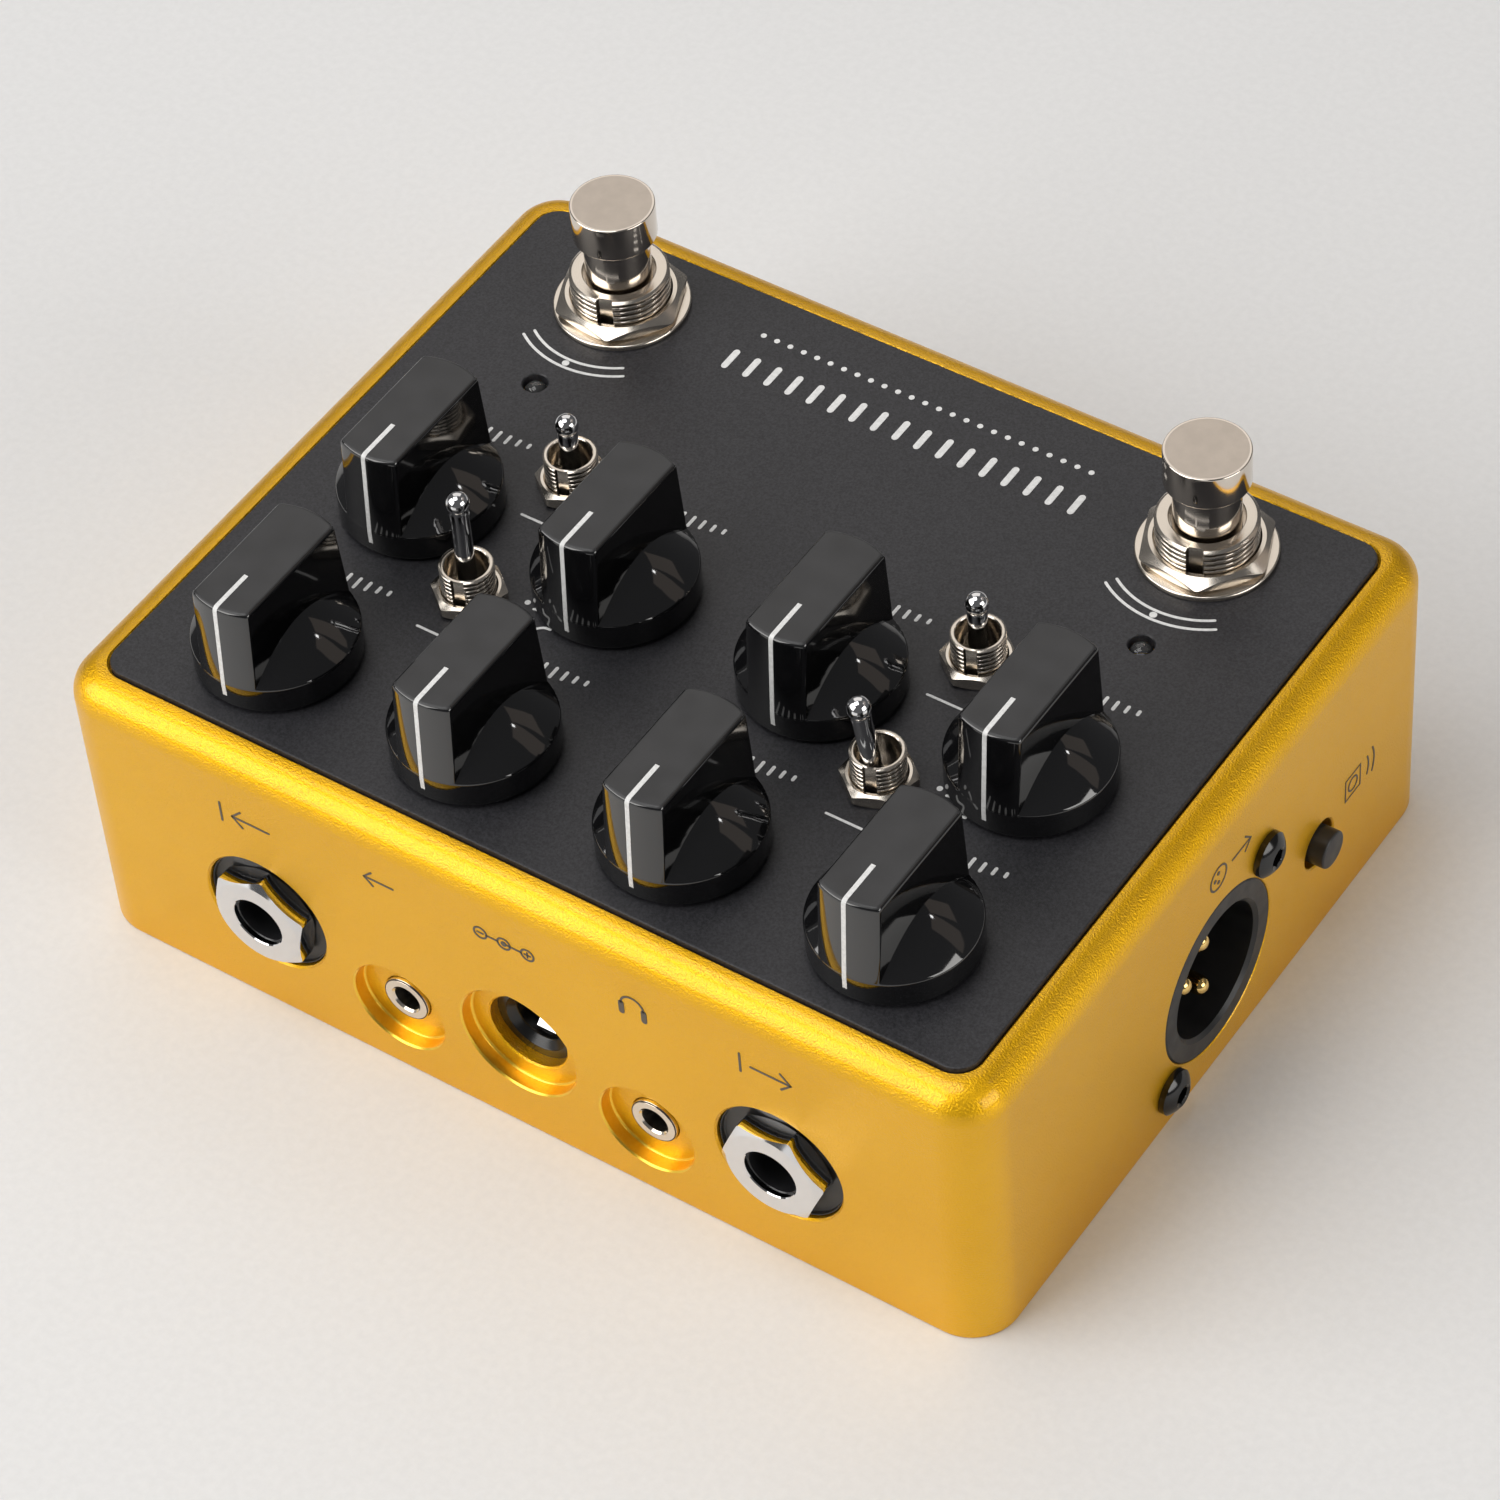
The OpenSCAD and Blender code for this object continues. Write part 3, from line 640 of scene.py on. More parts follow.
def make_plate():
    edge = [(0.1, PLATE_LO), (0, PLATE_LO + 0.1), (0, TOP - 0.3), (0.09, TOP - 0.09), (0.3, TOP)]
    base = loft_solid(PLATE_W, PLATE_D, 3, edge)
    tools = []
    for places, r, _, flare in PANEL_HOLES:
        tools += [turned_solid(hole(r, PLATE_LO - 1, TOP, flare), at_xy(p), 64) for p in places]
    return take(boolean(base, tools))


finish_data(make_plate(), "face_plate", PLATE, "chassis", ["top_plate"], 25, True)

# ---------------------------------------------------------------- knobs
KZ = box_mm("knob_drive")[0].z
KH = box_mm("knob_drive")[1].z - KZ
# radii of the skirt and of the grip's top, width of the grip, height of the skirt's rim
KR, GR, GW, RIMH = 9.8, 9.0, 7.9, 3.6
SOFT = 0.55  # radius of the grip's top edge


def grip_outline(half, radius, k=12, soft=0.35):
    """Bar with flat sides and ends on a circle, its four upright edges softened."""
    a0 = math.degrees(math.acos(half / radius))
    pts = []
    for s in (1, -1):
        end = [(s * x, s * y) for x, y in arc((0, 0), radius, a0, 180 - a0, k)]
        p0, p1 = Vector(end[0]), Vector(end[-1])
        side0, side1 = Vector((p0.x, p0.y - s * soft)), Vector((p1.x, p1.y - s * soft))
        in0, in1 = p0.lerp(Vector(end[1]), 0.55), p1.lerp(Vector(end[-2]), 0.55)
        pts += [tuple(side0), tuple(side0 * 0.3 + p0 * 0.55 + in0 * 0.15), tuple(in0 * 0.75 + p0 * 0.25)]
        pts += end[1:-1]
        pts += [tuple(in1 * 0.75 + p1 * 0.25), tuple(side1 * 0.3 + p1 * 0.55 + in1 * 0.15), tuple(side1)]
    return pts


def grip_bar(bm):
    """The upright bar, narrowing to its rounded top."""
    levels = [(0, z) for z in (3.0, RIMH, 6, 9, 12)]
    levels += [(SOFT - x, KH - SOFT + z) for x, z in arc((0, 0), SOFT, 0, 90, 6)]
    rows = []
    for inset, z in levels:
        r = KR - 0.03 - (KR - GR) * max(0, z - RIMH) / (KH - RIMH)
        rows.append([(x, y, z) for x, y in grip_outline(GW / 2 - inset, r - inset)])
    rings(bm, rows)
    cap_ends(bm, 0, len(rows[0]))


def make_knob():
    run, climb, bulge = 7.05, 4.6, 0.5  # of the skirt's dome, inward and upward from its rim
    dome = []
    for i in range(1, 9):
        f = i / 8
        dome.append((KR - run * f, RIMH + climb * f + bulge * math.sin(math.pi * f)))
    skirt = ease([(0, 0), (KR, 0, 0.35), (KR, RIMH, 0.55)] + dome + [(0, RIMH + climb)], 5)
    base = boolean(turned_solid(skirt, n=128), [solid(grip_bar)], "UNION")
    # hollow of the skirt and bore for the shaft
    boolean(base, [turned_solid(rod(6.4, -1, 5), n=64), turned_solid(rod(3, 4, 12.2), n=48)])
    me = take(base)
    me.materials.clear()
    for m in (KNOB_SIDE, KNOB_TOP, KNOB_CHEEK_SHADE):
        me.materials.append(m)
    # the grip's flat sides take the darker copy of the gloss plastic, which is painted shade
    for p in me.polygons:
        if p.normal.z > 0.8 and p.center.z > (KH - 0.3) * MM:
            p.material_index = 1
        else:
            p.material_index = 2 if abs(p.normal.x) > 0.98 and p.center.z > RIMH * MM else 0
    return me


def make_index():
    """White line along the top of the grip, over its end and down the side."""
    path = [(3.1, KH)] + arc((GR - SOFT, KH - SOFT), SOFT, 90, 0, 6)
    path += [(KR - 0.03, RIMH), (KR, RIMH - 0.5), (KR, 1.5)]
    bm = bmesh.new()
    ribbon(bm, path, 0.28, 0.035, 0.12)
    return to_mesh(bm, "index")


def place_knob_part(source, name, p, mats, replaces, weighted):
    me = source.copy()
    me.transform(at_xy(p, KZ))
    body = name.split("_", 1)[1] + "_control"
    finish_data(me, name, mats, body, replaces, 30, weighted)


knob_mesh, index_mesh = make_knob(), make_index()
for name, p in KNOBS.items():
    place_knob_part(knob_mesh, "grip_" + name, p, [], ["knob_" + name], True)
    place_knob_part(index_mesh, "index_" + name, p, WHITE, (), False)

# ---------------------------------------------------------------- footswitches
FOOT_TOP = box_mm("footswitch_bushings")[1].z
FLANGE, CAP_TOP = (v.z for v in box_mm("plunger_bypass"))
STEP = FLANGE + 1.8
WASHER, PRESS = 0.7, 2.8
FOOT_R, FOOT_PITCH = 6.05, 0.75

bm = bmesh.new()
for p in FEET.values():
    z0, z1 = TOP + 0.1, FOOT_TOP - 0.25
    prof = [(5.0, ROOF), (6.0, ROOF), (6.0, z0)] + thread_rows(FOOT_R, FOOT_PITCH, z0, z1)
    prof += [(5.75, FOOT_TOP - 0.05), (5.6, FOOT_TOP), (4.5, FOOT_TOP), (4.4, FOOT_TOP - 0.1)]
    prof += [(4.4, FOOT_TOP - 1.5), (4.06, FOOT_TOP - 1.5), (4.06, STEP), (5.0, STEP)]
    threaded(bm, p, prof, FOOT_R, FOOT_PITCH, z0, z1, 0.36, (0.7, 1.7, 107),
             inside=5.1, groove=(5.5, 5.93), n=216)
# the second material paints the shade in the thread grooves
threads = [NICKEL, NICKEL_GROOVE_SHADE]
finish_mesh(bm, "foot_bushings", threads, "chassis", ["footswitch_bushings"], 38)

bm = bmesh.new()
for p in FEET.values():
    nut(bm, at_xy(p), flats=14.5, bore=6.1, z0=TOP + WASHER, z1=TOP + 2.4, turn=52)
finish_mesh(bm, "foot_nuts", NICKEL, "chassis", ["footswitch_nuts"], 20)

bm = bmesh.new()
for p in FEET.values():
    prof = [(6.1, TOP), (6.1, TOP + WASHER), (8.35, TOP + WASHER, 0.25), (8.35, TOP, 0.2), (6.1, TOP)]
    turned(bm, ease(prof), at_xy(p), 128, True)
finish_mesh(bm, "foot_washers", NICKEL, "chassis", ["footswitch_washers"])

CAP_R = 4.75  # of the cap's satin top
for name, p in FEET.items():
    under = CAP_TOP - 4.65
    prof = [(0, FLANGE), (4.7, FLANGE, 0.2), (4.7, STEP - 0.3, 0.1), (4.0, STEP - 0.3), (4.0, under)]
    prof += [(5.1, under, 0.22), (5.1, CAP_TOP, 0.24), (CAP_R, CAP_TOP)]
    bm = bmesh.new()
    turned(bm, ease(prof, 6), at_xy(p), 128)
    turned(bm, [(CAP_R, CAP_TOP), (3.0, CAP_TOP), (0, CAP_TOP)], at_xy(p), 128, mat=1)
    mats = [NICKEL_BRIGHT, NICKEL_SATIN]
    finish_mesh(bm, "plunger_cap_" + name, mats, name + "_plunger", ["plunger_" + name], 40)


def coil(bm, at, radius, wire, length, turns, k=10):
    """Compression spring along +Z with its end turns closed up."""
    steps = int(turns * 28)
    end = 1.2 / turns  # share of the wire in each closed end
    circle = [(math.cos(TAU * j / k), math.sin(TAU * j / k)) for j in range(k)]
    rows = []
    for i in range(steps + 1):
        f = i / steps
        climb = min(max((f - end) / (1 - 2 * end), 0), 1)
        closing = min(f, end) - end + max(f, 1 - end) - (1 - end)
        z = wire + climb * (length - 2 * wire) + closing * wire * 0.8 / end
        out = Vector((math.cos(TAU * turns * f), math.sin(TAU * turns * f), 0))
        c = out * radius + Vector((0, 0, z))
        rows.append([tuple(c + out * (wire * u) + Vector((0, 0, wire * v))) for u, v in circle])
    first, last = ([tuple(sum((Vector(q) for q in row), Vector()) / k)] for row in (rows[0], rows[-1]))
    rings(bm, [first] + rows + [last], at)


for name, p in FEET.items():
    lo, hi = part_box("spring_" + name)
    length = (hi.z - lo.z) / MM
    bm = bmesh.new()
    coil(bm, at_xy(p, lo.z / MM), 4.0, 0.38, length, 7)
    o = finish_mesh(bm, "coil_" + name, WIRE, "chassis", ["spring_" + name])
    seat = (p[0] * MM, p[1] * MM, lo.z)
    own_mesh(o)

# ---------------------------------------------------------------- toggle switches
TOGGLE_TOP = box_mm("toggle_bushings")[1].z
TOGGLE_R, TOGGLE_PITCH = 3.2, 0.635

bm = bmesh.new()
for p in LEVERS.values():
    z0, z1 = TOP + 0.1, TOGGLE_TOP - 0.15
    seat = p[2] + 2
    prof = [(2.36, ROOF), (3.15, ROOF), (3.15, z0)] + thread_rows(TOGGLE_R, TOGGLE_PITCH, z0, z1)
    prof += [(3.0, TOGGLE_TOP), (2.72, TOGGLE_TOP), (2.6, TOGGLE_TOP - 0.12), (2.6, seat), (2.36, seat)]
    threaded(bm, p, prof, TOGGLE_R, TOGGLE_PITCH, z0, z1, 0.33, (0.5, 1.3, 105),
             inside=3.05, groove=(2.8, 3.10), n=180)
finish_mesh(bm, "toggle_threads", threads, "chassis", ["toggle_bushings"], 38)

bm = bmesh.new()
for p in LEVERS.values():
    nut(bm, at_xy(p), flats=8, bore=3.25, z0=TOP, z1=TOP + 1.9, turn=22)
finish_mesh(bm, "toggle_hex_nuts", NICKEL, "chassis", ["toggle_nuts"], 20)

for name, p in LEVERS.items():
    hi = box_mm("lever_" + name)[1]
    lean = -10 if hi.y - p[1] > 3.5 else 0
    # height of the tip over the pivot, for the long and the short lever
    tip = 17.4 if hi.z > TOP + 14 else 12.2
    prof = [(0, -5.5), (0.9, -5.4), (0.9, -2.15)] + arc((0, 0), 2.3, -62, 58, 15)
    prof += [(1.12, 2.35), (1.12, 4.0), (1.14, tip - 2.6), (1.22, tip - 1.2)]
    prof += arc((0, tip), 1.4, -30, 80, 11) + [(0, tip + 1.4)]
    bm = bmesh.new()
    turned(bm, prof, at_xy(p, p[2]) @ Matrix.Rotation(math.radians(lean), 4, "X"), 64)
    finish_mesh(bm, "bat_" + name, CHROME, name + "_lever", ["lever_" + name], 40)

# ---------------------------------------------------------------- sockets and side hardware
FACE = BACK + 1.8
NUT_TURN = {"input": 142, "output": 128}

bm = bmesh.new()
for name, x in JACK_X.items():
    nut(bm, facing_y(x, JACK_Z), flats=12, bore=4.75, z0=FACE - 3, z1=FACE,
        turn=NUT_TURN[name], chamfer=0.97, lip=(3.4, 0.8))
finish_mesh(bm, "jack_hex_nuts", CHROME, "chassis", ["jack_nuts"], 20)

bm = bmesh.new()
for x in JACK_X.values():
    prof = [(4.8, IN_Y), (4.8, BACK - 1.2), (8.0, BACK - 1.2, 0.2), (8.0, BACK - 0.6, 0.1)]
    prof += [(8.2, BACK - 0.6, 0.1), (8.2, IN_Y), (4.8, IN_Y)]
    turned(bm, ease(prof), facing_y(x, JACK_Z), 128, True)
finish_mesh(bm, "collars", COLLAR, "chassis", ["jack_collars"], 35)

RING = box_mm("aux_jack")[1].y
bm = bmesh.new()
for x in MINI.values():
    prof = [(1.78, IN_Y + 0.3), (1.78, RING - 0.25), (2.0, RING + 0.02), (2.86, RING + 0.02)]
    prof += [(3.03, RING - 0.15), (3.03, IN_Y + 0.3)]
    turned(bm, prof, facing_y(x, MINI_Z), 96, True)
finish_mesh(bm, "mini_jack_rings", NICKEL, "chassis")

# power inlet: centre pin, and a leaf spring along the bottom of the bore with its front bent down
PIN_R = 1.05
lo, hi = box_mm("dc_pin")
bm = bmesh.new()
turned(bm, [(0, lo.y), (PIN_R, lo.y)] + nose(PIN_R, hi.y), facing_y(*DC), 48)
leaf = ease([(-2.75, IN_Y - 9.5), (-1.75, IN_Y - 2.97, 0.9), (-2.85, IN_Y - 1.75)], 8)
ribbon(bm, leaf, 1.3, 0.1, 0.1, facing_y(*DC))
finish_mesh(bm, "inlet_pin", CHROME, "chassis", ["dc_pin"], 25)

# balanced output: (radius, depth below the wall's outside) of the shell
shell = (
    (0, 15), (8.3, 15), (8.5, 14.8), (8.5, 0.45), (9.0, 0.02), (11.15, 0.02), (11.35, 0.14),
    (11.35, 3), (11.9, 3), (11.9, 5.5), (10, 5.5), (10, 25), (0, 25),
)
CONTACT_R = 1.2
base = turned_solid([(r, OUT - depth) for r, depth in shell], facing_x(*XLR), 160)
contact_hole = rod(CONTACT_R, OUT - 26, OUT - 14)
boolean(base, [turned_solid(contact_hole, facing_x(*p), 40) for p in XLR_PINS])
finish_data(take(base), "output_shell", SHELL, "chassis", ["xlr_housing"], 30)

# power inlet: the block round its bore
block = [(0.2, IN_Y - 13), (0, IN_Y - 12.8), (0, IN_Y - 0.15), (0.15, IN_Y)]
bore = [(0, IN_Y - 10.5), (3.15, IN_Y - 10.5), (3.15, IN_Y - 0.9, 0.5), (4.2, IN_Y, 0.4)]
bore = ease(bore + [(4.2, IN_Y + 1), (0, IN_Y + 1)], 5)
pin_hole = turned_solid(rod(PIN_R, IN_Y - 12, IN_Y - 10), facing_y(*DC), 40)
base = loft_solid(11, 10.8, 0.4, block, facing_y(*DC), 3)
boolean(base, [turned_solid(bore, facing_y(*DC)), pin_hole])
finish_data(take(base), "inlet_block", INLET, "chassis", ["dc_jack"], 30)

# contacts of the balanced output
tail = -box_mm("xlr_contacts")[1].x
bm = bmesh.new()
for p in XLR_PINS:
    turned(bm, [(0, tail), (CONTACT_R, tail)] + nose(CONTACT_R, OUT - 1.35), facing_x(*p), 40)
finish_mesh(bm, "gold_pins", CONTACT, "chassis", ["xlr_contacts"])


def screw_socket(r, z, th):
    """Shape function of a hexagon socket."""
    return (hex_radius(2.05, th, 12, 1.0), z) if r == HEX else (r, z)


HEAD_R = 3.9  # of the sphere that the button heads are cut from
head = []
for degrees in (22, 25, 28, 31, 34, 37, 40, 42.5, 45, 46.9):
    t = math.radians(degrees)
    head.append((HEAD_R * math.sin(t), OUT - 1.9 + HEAD_R * math.cos(t)))
prof = [(0, OUT + 0.3), (HEX, OUT + 0.35), (HEX, OUT + 1.5), (1.28, OUT + 1.64)] + head
prof += [(2.85, OUT + 0.62), (2.85, OUT + 0.06), (2.8, OUT)]
prof += [(1.45, OUT), (1.45, OUT - 5.2), (1.2, OUT - 5.4), (0, OUT - 5.4)]
bm = bmesh.new()
for p in XLR_SCREWS:
    turned(bm, prof, facing_x(*p), shape=screw_socket)
finish_mesh(bm, "button_head_screws", BLACK_STEEL, "chassis", ["xlr_screws"], 30)

end, inner = -box_mm("push_button")[0].x, OUT - WALL
prof = [(0, end), (2.4, end, 0.3), (2.4, inner - 2.3), (3.1, inner - 2.3, 0.1), (3.1, inner - 3.1, 0.1)]
prof += [(1.2, inner - 3.1), (1.2, inner - 5.3, 0.2), (0, inner - 5.3)]
bm = bmesh.new()
turned(bm, ease(prof, 5), facing_x(*PUSH), 72)
finish_mesh(bm, "push_cap", COLLAR, "cab_button", ["push_button"], 35)

lo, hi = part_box("push_spring")
length = (hi.x - lo.x) / MM
along_x = Matrix.Translation((lo.x, PUSH[0] * MM, PUSH[1] * MM)) @ Matrix.Rotation(math.pi / 2, 4, "Y")
bm = bmesh.new()
coil(bm, along_x, 2.25, 0.28, length, 4)
o = finish_mesh(bm, "push_coil", WIRE, "chassis", ["push_spring"])
seat = (hi.x, PUSH[0] * MM, PUSH[1] * MM)
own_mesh(o)

# lamps: a clear domed lens over a frame with a cup, on two legs down to the board
LENS_FOOT, LEG_END = TOP - 6.9, 28.8
cup = ((0, 5.6), (0.5, 5.6), (0.95, 2.5), (0.85, 2.45), (0.3, 2.95), (0, 2.97))
bm, frames = bmesh.new(), bmesh.new()
for p in LEDS:
    prof = [(0, LENS_FOOT), (1.6, LENS_FOOT), (1.6, TOP - 5.9), (LED_R, TOP - 5.8)]
    turned(bm, prof + nose(LED_R, TOP - 0.13), at_xy(p), 48)
    turned(frames, [(r, TOP - depth) for r, depth in cup], at_xy(p), 32)
    for dx in (-1, 1):
        turned(frames, rod(0.25, LEG_END, LENS_FOOT), at_xy((p[0] + dx, p[1])), 12)
finish_mesh(bm, "led_lenses", LENS, "chassis", ["leds"])
finish_mesh(frames, "led_frames", CHROME, "chassis")

# ---------------------------------------------------------------- printed marks
INK = 0.05  # half the thickness of the print
# each printed face as the turn and the height that its marks take
ON_PANEL, ON_JACK_SIDE, ON_CONNECTOR_SIDE = (UNTURNED, TOP), (facing_y(0, 0), BACK), (facing_x(0, 0), OUT)


def strip(bm, sides, at, z, loop=False):
    """Closed thin prism through pairs of points, left and right."""
    rows = [[(*l, z + INK), (*r, z + INK), (*r, z - INK), (*l, z - INK)] for l, r in sides]
    start = len(bm.verts)
    rings(bm, rows, at, loop)
    if not loop:
        cap_ends(bm, start, 4)


def round_end(p, before, w):
    """Pairs of points that round off a stroke of half width w at its end p."""
    d = (p - before).normalized()
    nrm = Vector((-d.y, d.x))
    sides = []
    for degrees in (30, 55, 75, 88):
        t = math.radians(degrees)
        along, across = d * (w * math.sin(t)), nrm * (w * math.cos(t))
        sides.append((p + along + across, p + along - across))
    return sides


def line(bm, pts, width, at, z, loop=False):
    """Stroke of even width with round ends."""
    pts = [Vector(p) for p in pts]
    n, w = len(pts), width / 2
    sides = []
    for i, p in enumerate(pts):
        q0 = pts[i - 1] if loop or i else p
        q1 = pts[(i + 1) % n] if loop or i < n - 1 else p
        d = (q1 - q0).normalized()
        nrm = Vector((-d.y, d.x))
        sides.append((p + nrm * w, p - nrm * w))
    if not loop:
        first = [(r, l) for l, r in round_end(pts[0], pts[1], w)[::-1]]
        sides = first + sides + round_end(pts[-1], pts[-2], w)
    strip(bm, sides, at, z, loop)


def circle(bm, c, r, width, at, z, n=23):
    line(bm, arc(c, r, 0, 345, n), width, at, z, True)


def dot(bm, p, r, at, z, n=24):
    half = arc((0, 0), r, 180 / n, 180 - 180 / n, n - 2)
    strip(bm, [((p[0] + x, p[1] + y), (p[0] + x, p[1] - y)) for x, y in half], at, z)


def digits(bm, words, size, p, at, z):
    """Numbers on a scale, as solid type."""
    cu = bpy.data.curves.new("n", "FONT")
    cu.body, cu.size, cu.extrude = words, size * MM, INK * MM
    cu.align_x, cu.align_y = "CENTER", "CENTER"
    o = bpy.data.objects.new("n", cu)
    bpy.context.scene.collection.objects.link(o)
    dg = bpy.context.evaluated_depsgraph_get()
    me = bpy.data.meshes.new_from_object(o.evaluated_get(dg))
    me.transform(at @ at_xy(p, z))
    bm.from_mesh(me)
    bpy.data.objects.remove(o)


def response(kind, f):
    """Height of one of three little curves: a slope, a peak, a shelf."""
    if kind == 0:
        return 0.9 * f
    if kind == 1:
        return 0.8 * math.exp(-(((f - 0.5) / 0.2) ** 2))
    return 1.0 / (1 + math.exp(-10 * (f - 0.5)))


bm = bmesh.new()
# rising bars beside each knob
for x, y, _ in KNOBS.values():
    for i in range(6):
        bx, by = x - 5.4 + 1.4 * i, y - 14.0
        line(bm, [(bx, by), (bx, by + 0.5 + 0.34 * i)], 0.42, *ON_PANEL)
# a dot and a number or a curve for each position of the toggles
PITCH = 2.6
for name, (x, y, _) in LEVERS.items():
    gx = x - 6.2
    for i in (-1, 0, 1):
        gy = y + i * PITCH
        dot(bm, (gx, gy), 0.36, *ON_PANEL)
        if "frequency" in name:
            digits(bm, str(i + 2), 2.2, (gx - 1.7, gy), *ON_PANEL)
        else:
            curve = [(gx - 4.7 + 3.5 * k / 12, gy - 0.4 + response(i + 1, k / 12)) for k in range(13)]
            line(bm, curve, 0.32, *ON_PANEL)
    line(bm, [(x - 2.6, y + 6.8), (x + 2.6, y + 6.8)], 0.32, *ON_PANEL)
# arcs and a dot by the footswitches
for p in FEET.values():
    for r in (11.2, 12.6):
        line(bm, arc(p, r, 55, 125), 0.35, *ON_PANEL)
    dot(bm, (p[0], p[1] + 11.9), 0.45, *ON_PANEL)
# plain bars and dots between the footswitches
for i in range(-8, 9):
    line(bm, [(3 * i, -34.4), (3 * i, -31.8)], 0.85, *ON_PANEL)
for i in range(-12, 13):
    dot(bm, (1.9 * i, -38.4), 0.36, *ON_PANEL)
finish_mesh(bm, "print_top", WHITE, "chassis")

bm = bmesh.new()
# arrows at the big jacks, pointing in or out
z = 31.5
for name, x in JACK_X.items():
    s, bar = (-1, 4.2) if name == "input" else (1, 4.0)
    cx, tip = -x, -x + s * 2.6
    line(bm, [(cx - 2.6, z), (cx + 2.6, z)], 0.3, *ON_JACK_SIDE)
    line(bm, [(tip - s * 1.3, z + 1.3), (tip, z), (tip - s * 1.3, z - 1.3)], 0.3, *ON_JACK_SIDE)
    line(bm, [(cx - bar, z + 1.5), (cx - bar, z - 1.5)], 0.3, *ON_JACK_SIDE)
# small arrow at the auxiliary jack
cx, z = -MINI["aux"], 32.3
line(bm, [(cx - 2, z), (cx + 2, z)], 0.28, *ON_JACK_SIDE)
line(bm, [(cx - 0.9, z + 1.1), (cx - 2, z), (cx - 0.9, z - 1.1)], 0.28, *ON_JACK_SIDE)
# polarity mark
cx, z = -DC[0], 32.2
for dx in (-3.2, 0, 3.2):
    circle(bm, (cx + dx, z), 0.85, 0.26, *ON_JACK_SIDE)
dot(bm, (cx, z), 0.4, *ON_JACK_SIDE)
for x0, x1, width in ((-2.35, -0.85, 0.26), (0.4, 2.35, 0.26), (-3.6, -2.8, 0.22), (2.8, 3.6, 0.22)):
    line(bm, [(cx + x0, z), (cx + x1, z)], width, *ON_JACK_SIDE)
line(bm, [(cx + 3.2, z + 0.4), (cx + 3.2, z - 0.4)], 0.22, *ON_JACK_SIDE)
# headphone mark
cx, z = -MINI["phones"], 32.0
line(bm, arc((cx, z), 1.5, 0, 180, 18), 0.28, *ON_JACK_SIDE)
for s in (-1, 1):
    line(bm, [(cx + s * 1.5, z - 0.1), (cx + s * 1.5, z - 1.5)], 0.75, *ON_JACK_SIDE)
finish_mesh(bm, "print_jack_side", GREY, "chassis")

bm = bmesh.new()
# three-pin connector mark with an arrow out
cy, z = -XLR[0], 31.5
circle(bm, (cy, z), 1.7, 0.28, *ON_CONNECTOR_SIDE)
for dy, dz in ((0, 0.75), (0, -0.75), (-0.75, 0)):
    dot(bm, (cy + dy, z + dz), 0.28, *ON_CONNECTOR_SIDE)
line(bm, [(cy + 3, z), (cy + 7, z)], 0.28, *ON_CONNECTOR_SIDE)
line(bm, [(cy + 5.8, z + 1.2), (cy + 7, z), (cy + 5.8, z - 1.2)], 0.28, *ON_CONNECTOR_SIDE)
# loudspeaker mark at the push button
cy, z = -PUSH[0] + 7.6, PUSH[1] + 3.2
square = [(cy + sy * 1.7, z + sz * 1.7) for sy, sz in ((-1, -1), (1, -1), (1, 1), (-1, 1))]
line(bm, square, 0.28, *ON_CONNECTOR_SIDE, True)
circle(bm, (cy, z), 1.0, 0.26, *ON_CONNECTOR_SIDE, 19)
for r in (3.6, 4.9):
    line(bm, arc((cy, z), r, -24, 24, 10), 0.28, *ON_CONNECTOR_SIDE)
finish_mesh(bm, "print_connector_side", GREY, "chassis")

# ---------------------------------------------------------------- CAD nodes that stay
kept = {
    "base_plate": PLATE, "base_screws": BLACK_STEEL, "control_board": BOARD, "io_board": BOARD,
    "board_spacers": BRASS, "board_header": SWITCH, "board_parts": SWITCH,
    "input_jack": JACK, "output_jack": JACK, "aux_jack": JACK, "phones_jack": JACK,
    "push_switch_housing": SWITCH, "pot_bodies": STEEL, "pot_nuts": NICKEL,
    "toggle_housings": SWITCH, "footswitch_housings": SWITCH,
}
for name in KNOBS:
    kept["shaft_" + name] = STEEL
for node, m in kept.items():
    o = frame["nodes"][node]
    for s in o.material_slots:
        s.link = "OBJECT"
        s.material = m

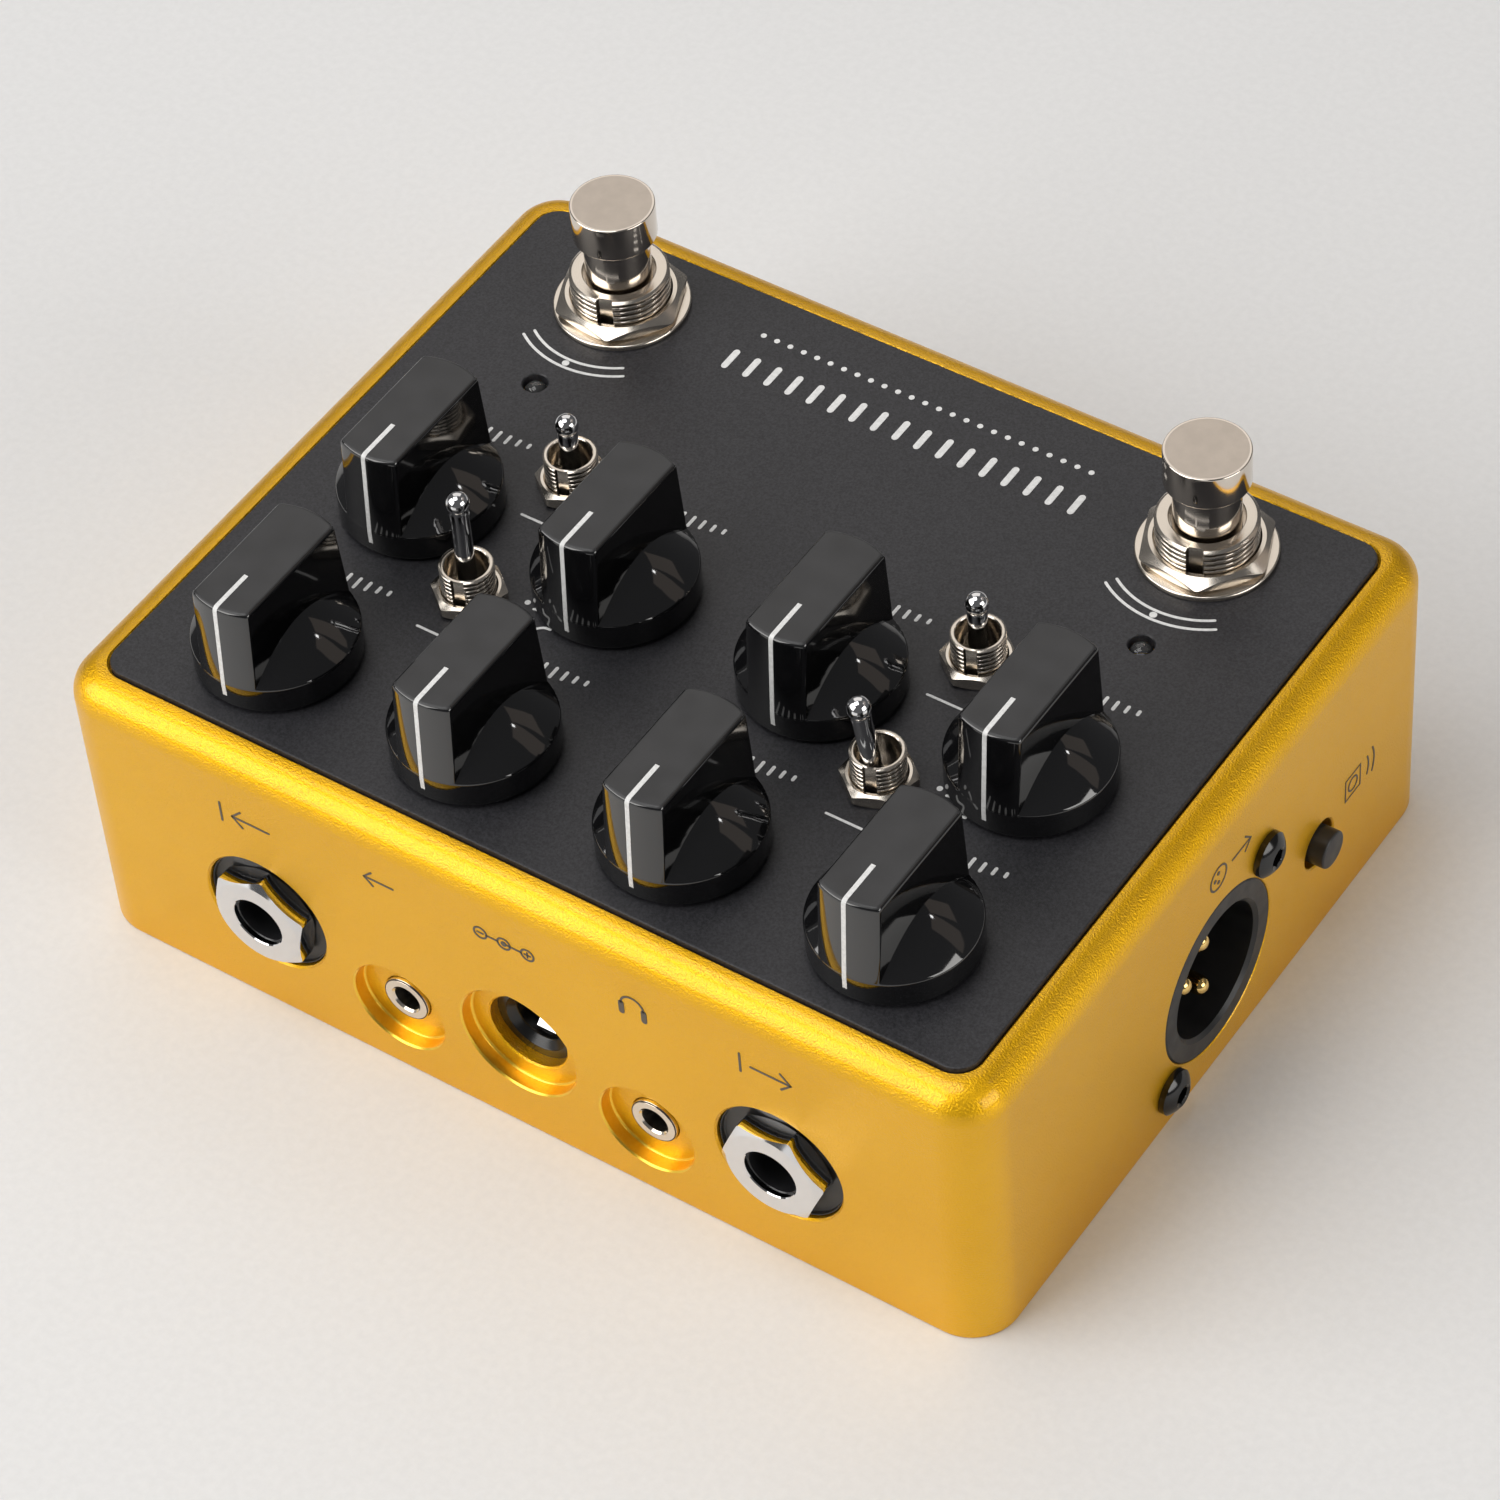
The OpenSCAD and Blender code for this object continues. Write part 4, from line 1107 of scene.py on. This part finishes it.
# ---------------------------------------------------------------- floor and light
def floor():
    k = Mat("floor_white", Roughness=0.6)
    n = k.noise(900, 4, 0.6)
    k.to("Base Color", k.mix(k.span(n, 0.0, 1.0), (0.735, 0.735, 0.735), (0.765, 0.765, 0.765)))
    k.bump(n, 0.00003, 0.3)
    me = bpy.data.meshes.new("floor")
    s, w, d = 3.0, (BODY_W / 2 - 2.5) * MM, (BODY_D / 2 - 2.5) * MM
    outer = [(-s, -s, 0), (s, -s, 0), (s, s, 0), (-s, s, 0)]
    inner = [(-w, -d, 0), (w, -d, 0), (w, d, 0), (-w, d, 0)]
    me.from_pydata(outer + inner, [], [(i, (i + 1) % 4, (i + 1) % 4 + 4, i + 4) for i in range(4)])
    me.materials.append(k.m)
    o = bpy.data.objects.new("floor", me)
    bpy.context.scene.collection.objects.link(o)


floor()


def lamp(name, pos, size, power, colour=(1, 1, 1), aim=(0, 0, 0.03)):
    li = bpy.data.lights.new(name, "AREA")
    li.shape, li.size, li.size_y = "RECTANGLE", size[0], size[1]
    li.energy, li.color = power, colour
    o = bpy.data.objects.new(name, li)
    o.location = pos
    o.rotation_mode = "QUATERNION"
    o.rotation_quaternion = (Vector(aim) - Vector(pos)).to_track_quat("-Z", "Y")
    bpy.context.scene.collection.objects.link(o)


lamp("key", (0.72, 0.92, 0.76), (1.3, 0.95), 14.5, (1.0, 0.985, 0.96))
lamp("wall", (0.75, -1.0, 1.25), (1.7, 1.4), 6.5, (1.0, 0.955, 0.91))
lamp("overhead", (0.30, 0.28, 1.5), (0.9, 0.9), 8.5)
lamp("side", (-1.3, 0.0, 0.55), (0.9, 0.7), 7.5, (1.0, 0.98, 0.95))
for k in (-0.17, 0.17):
    lamp("pane", (-0.85 + k, -0.85 - k, 1.05), (0.4, 0.6), 0.2, (1.0, 0.82, 0.68))
lamp("glint", (-0.74, -0.62, 1.15), (0.06, 0.06), 0.12)
lamp("under", (-0.3, 0.3, -0.9), (0.8, 0.8), 9)
world = bpy.data.worlds.new("world")
bpy.context.scene.world = world
world.use_nodes = True
world.node_tree.nodes["Background"].inputs["Color"].default_value = (0.80, 0.80, 0.82, 1)
world.node_tree.nodes["Background"].inputs["Strength"].default_value = 0.14
bpy.context.scene.view_settings.view_transform = "Standard"
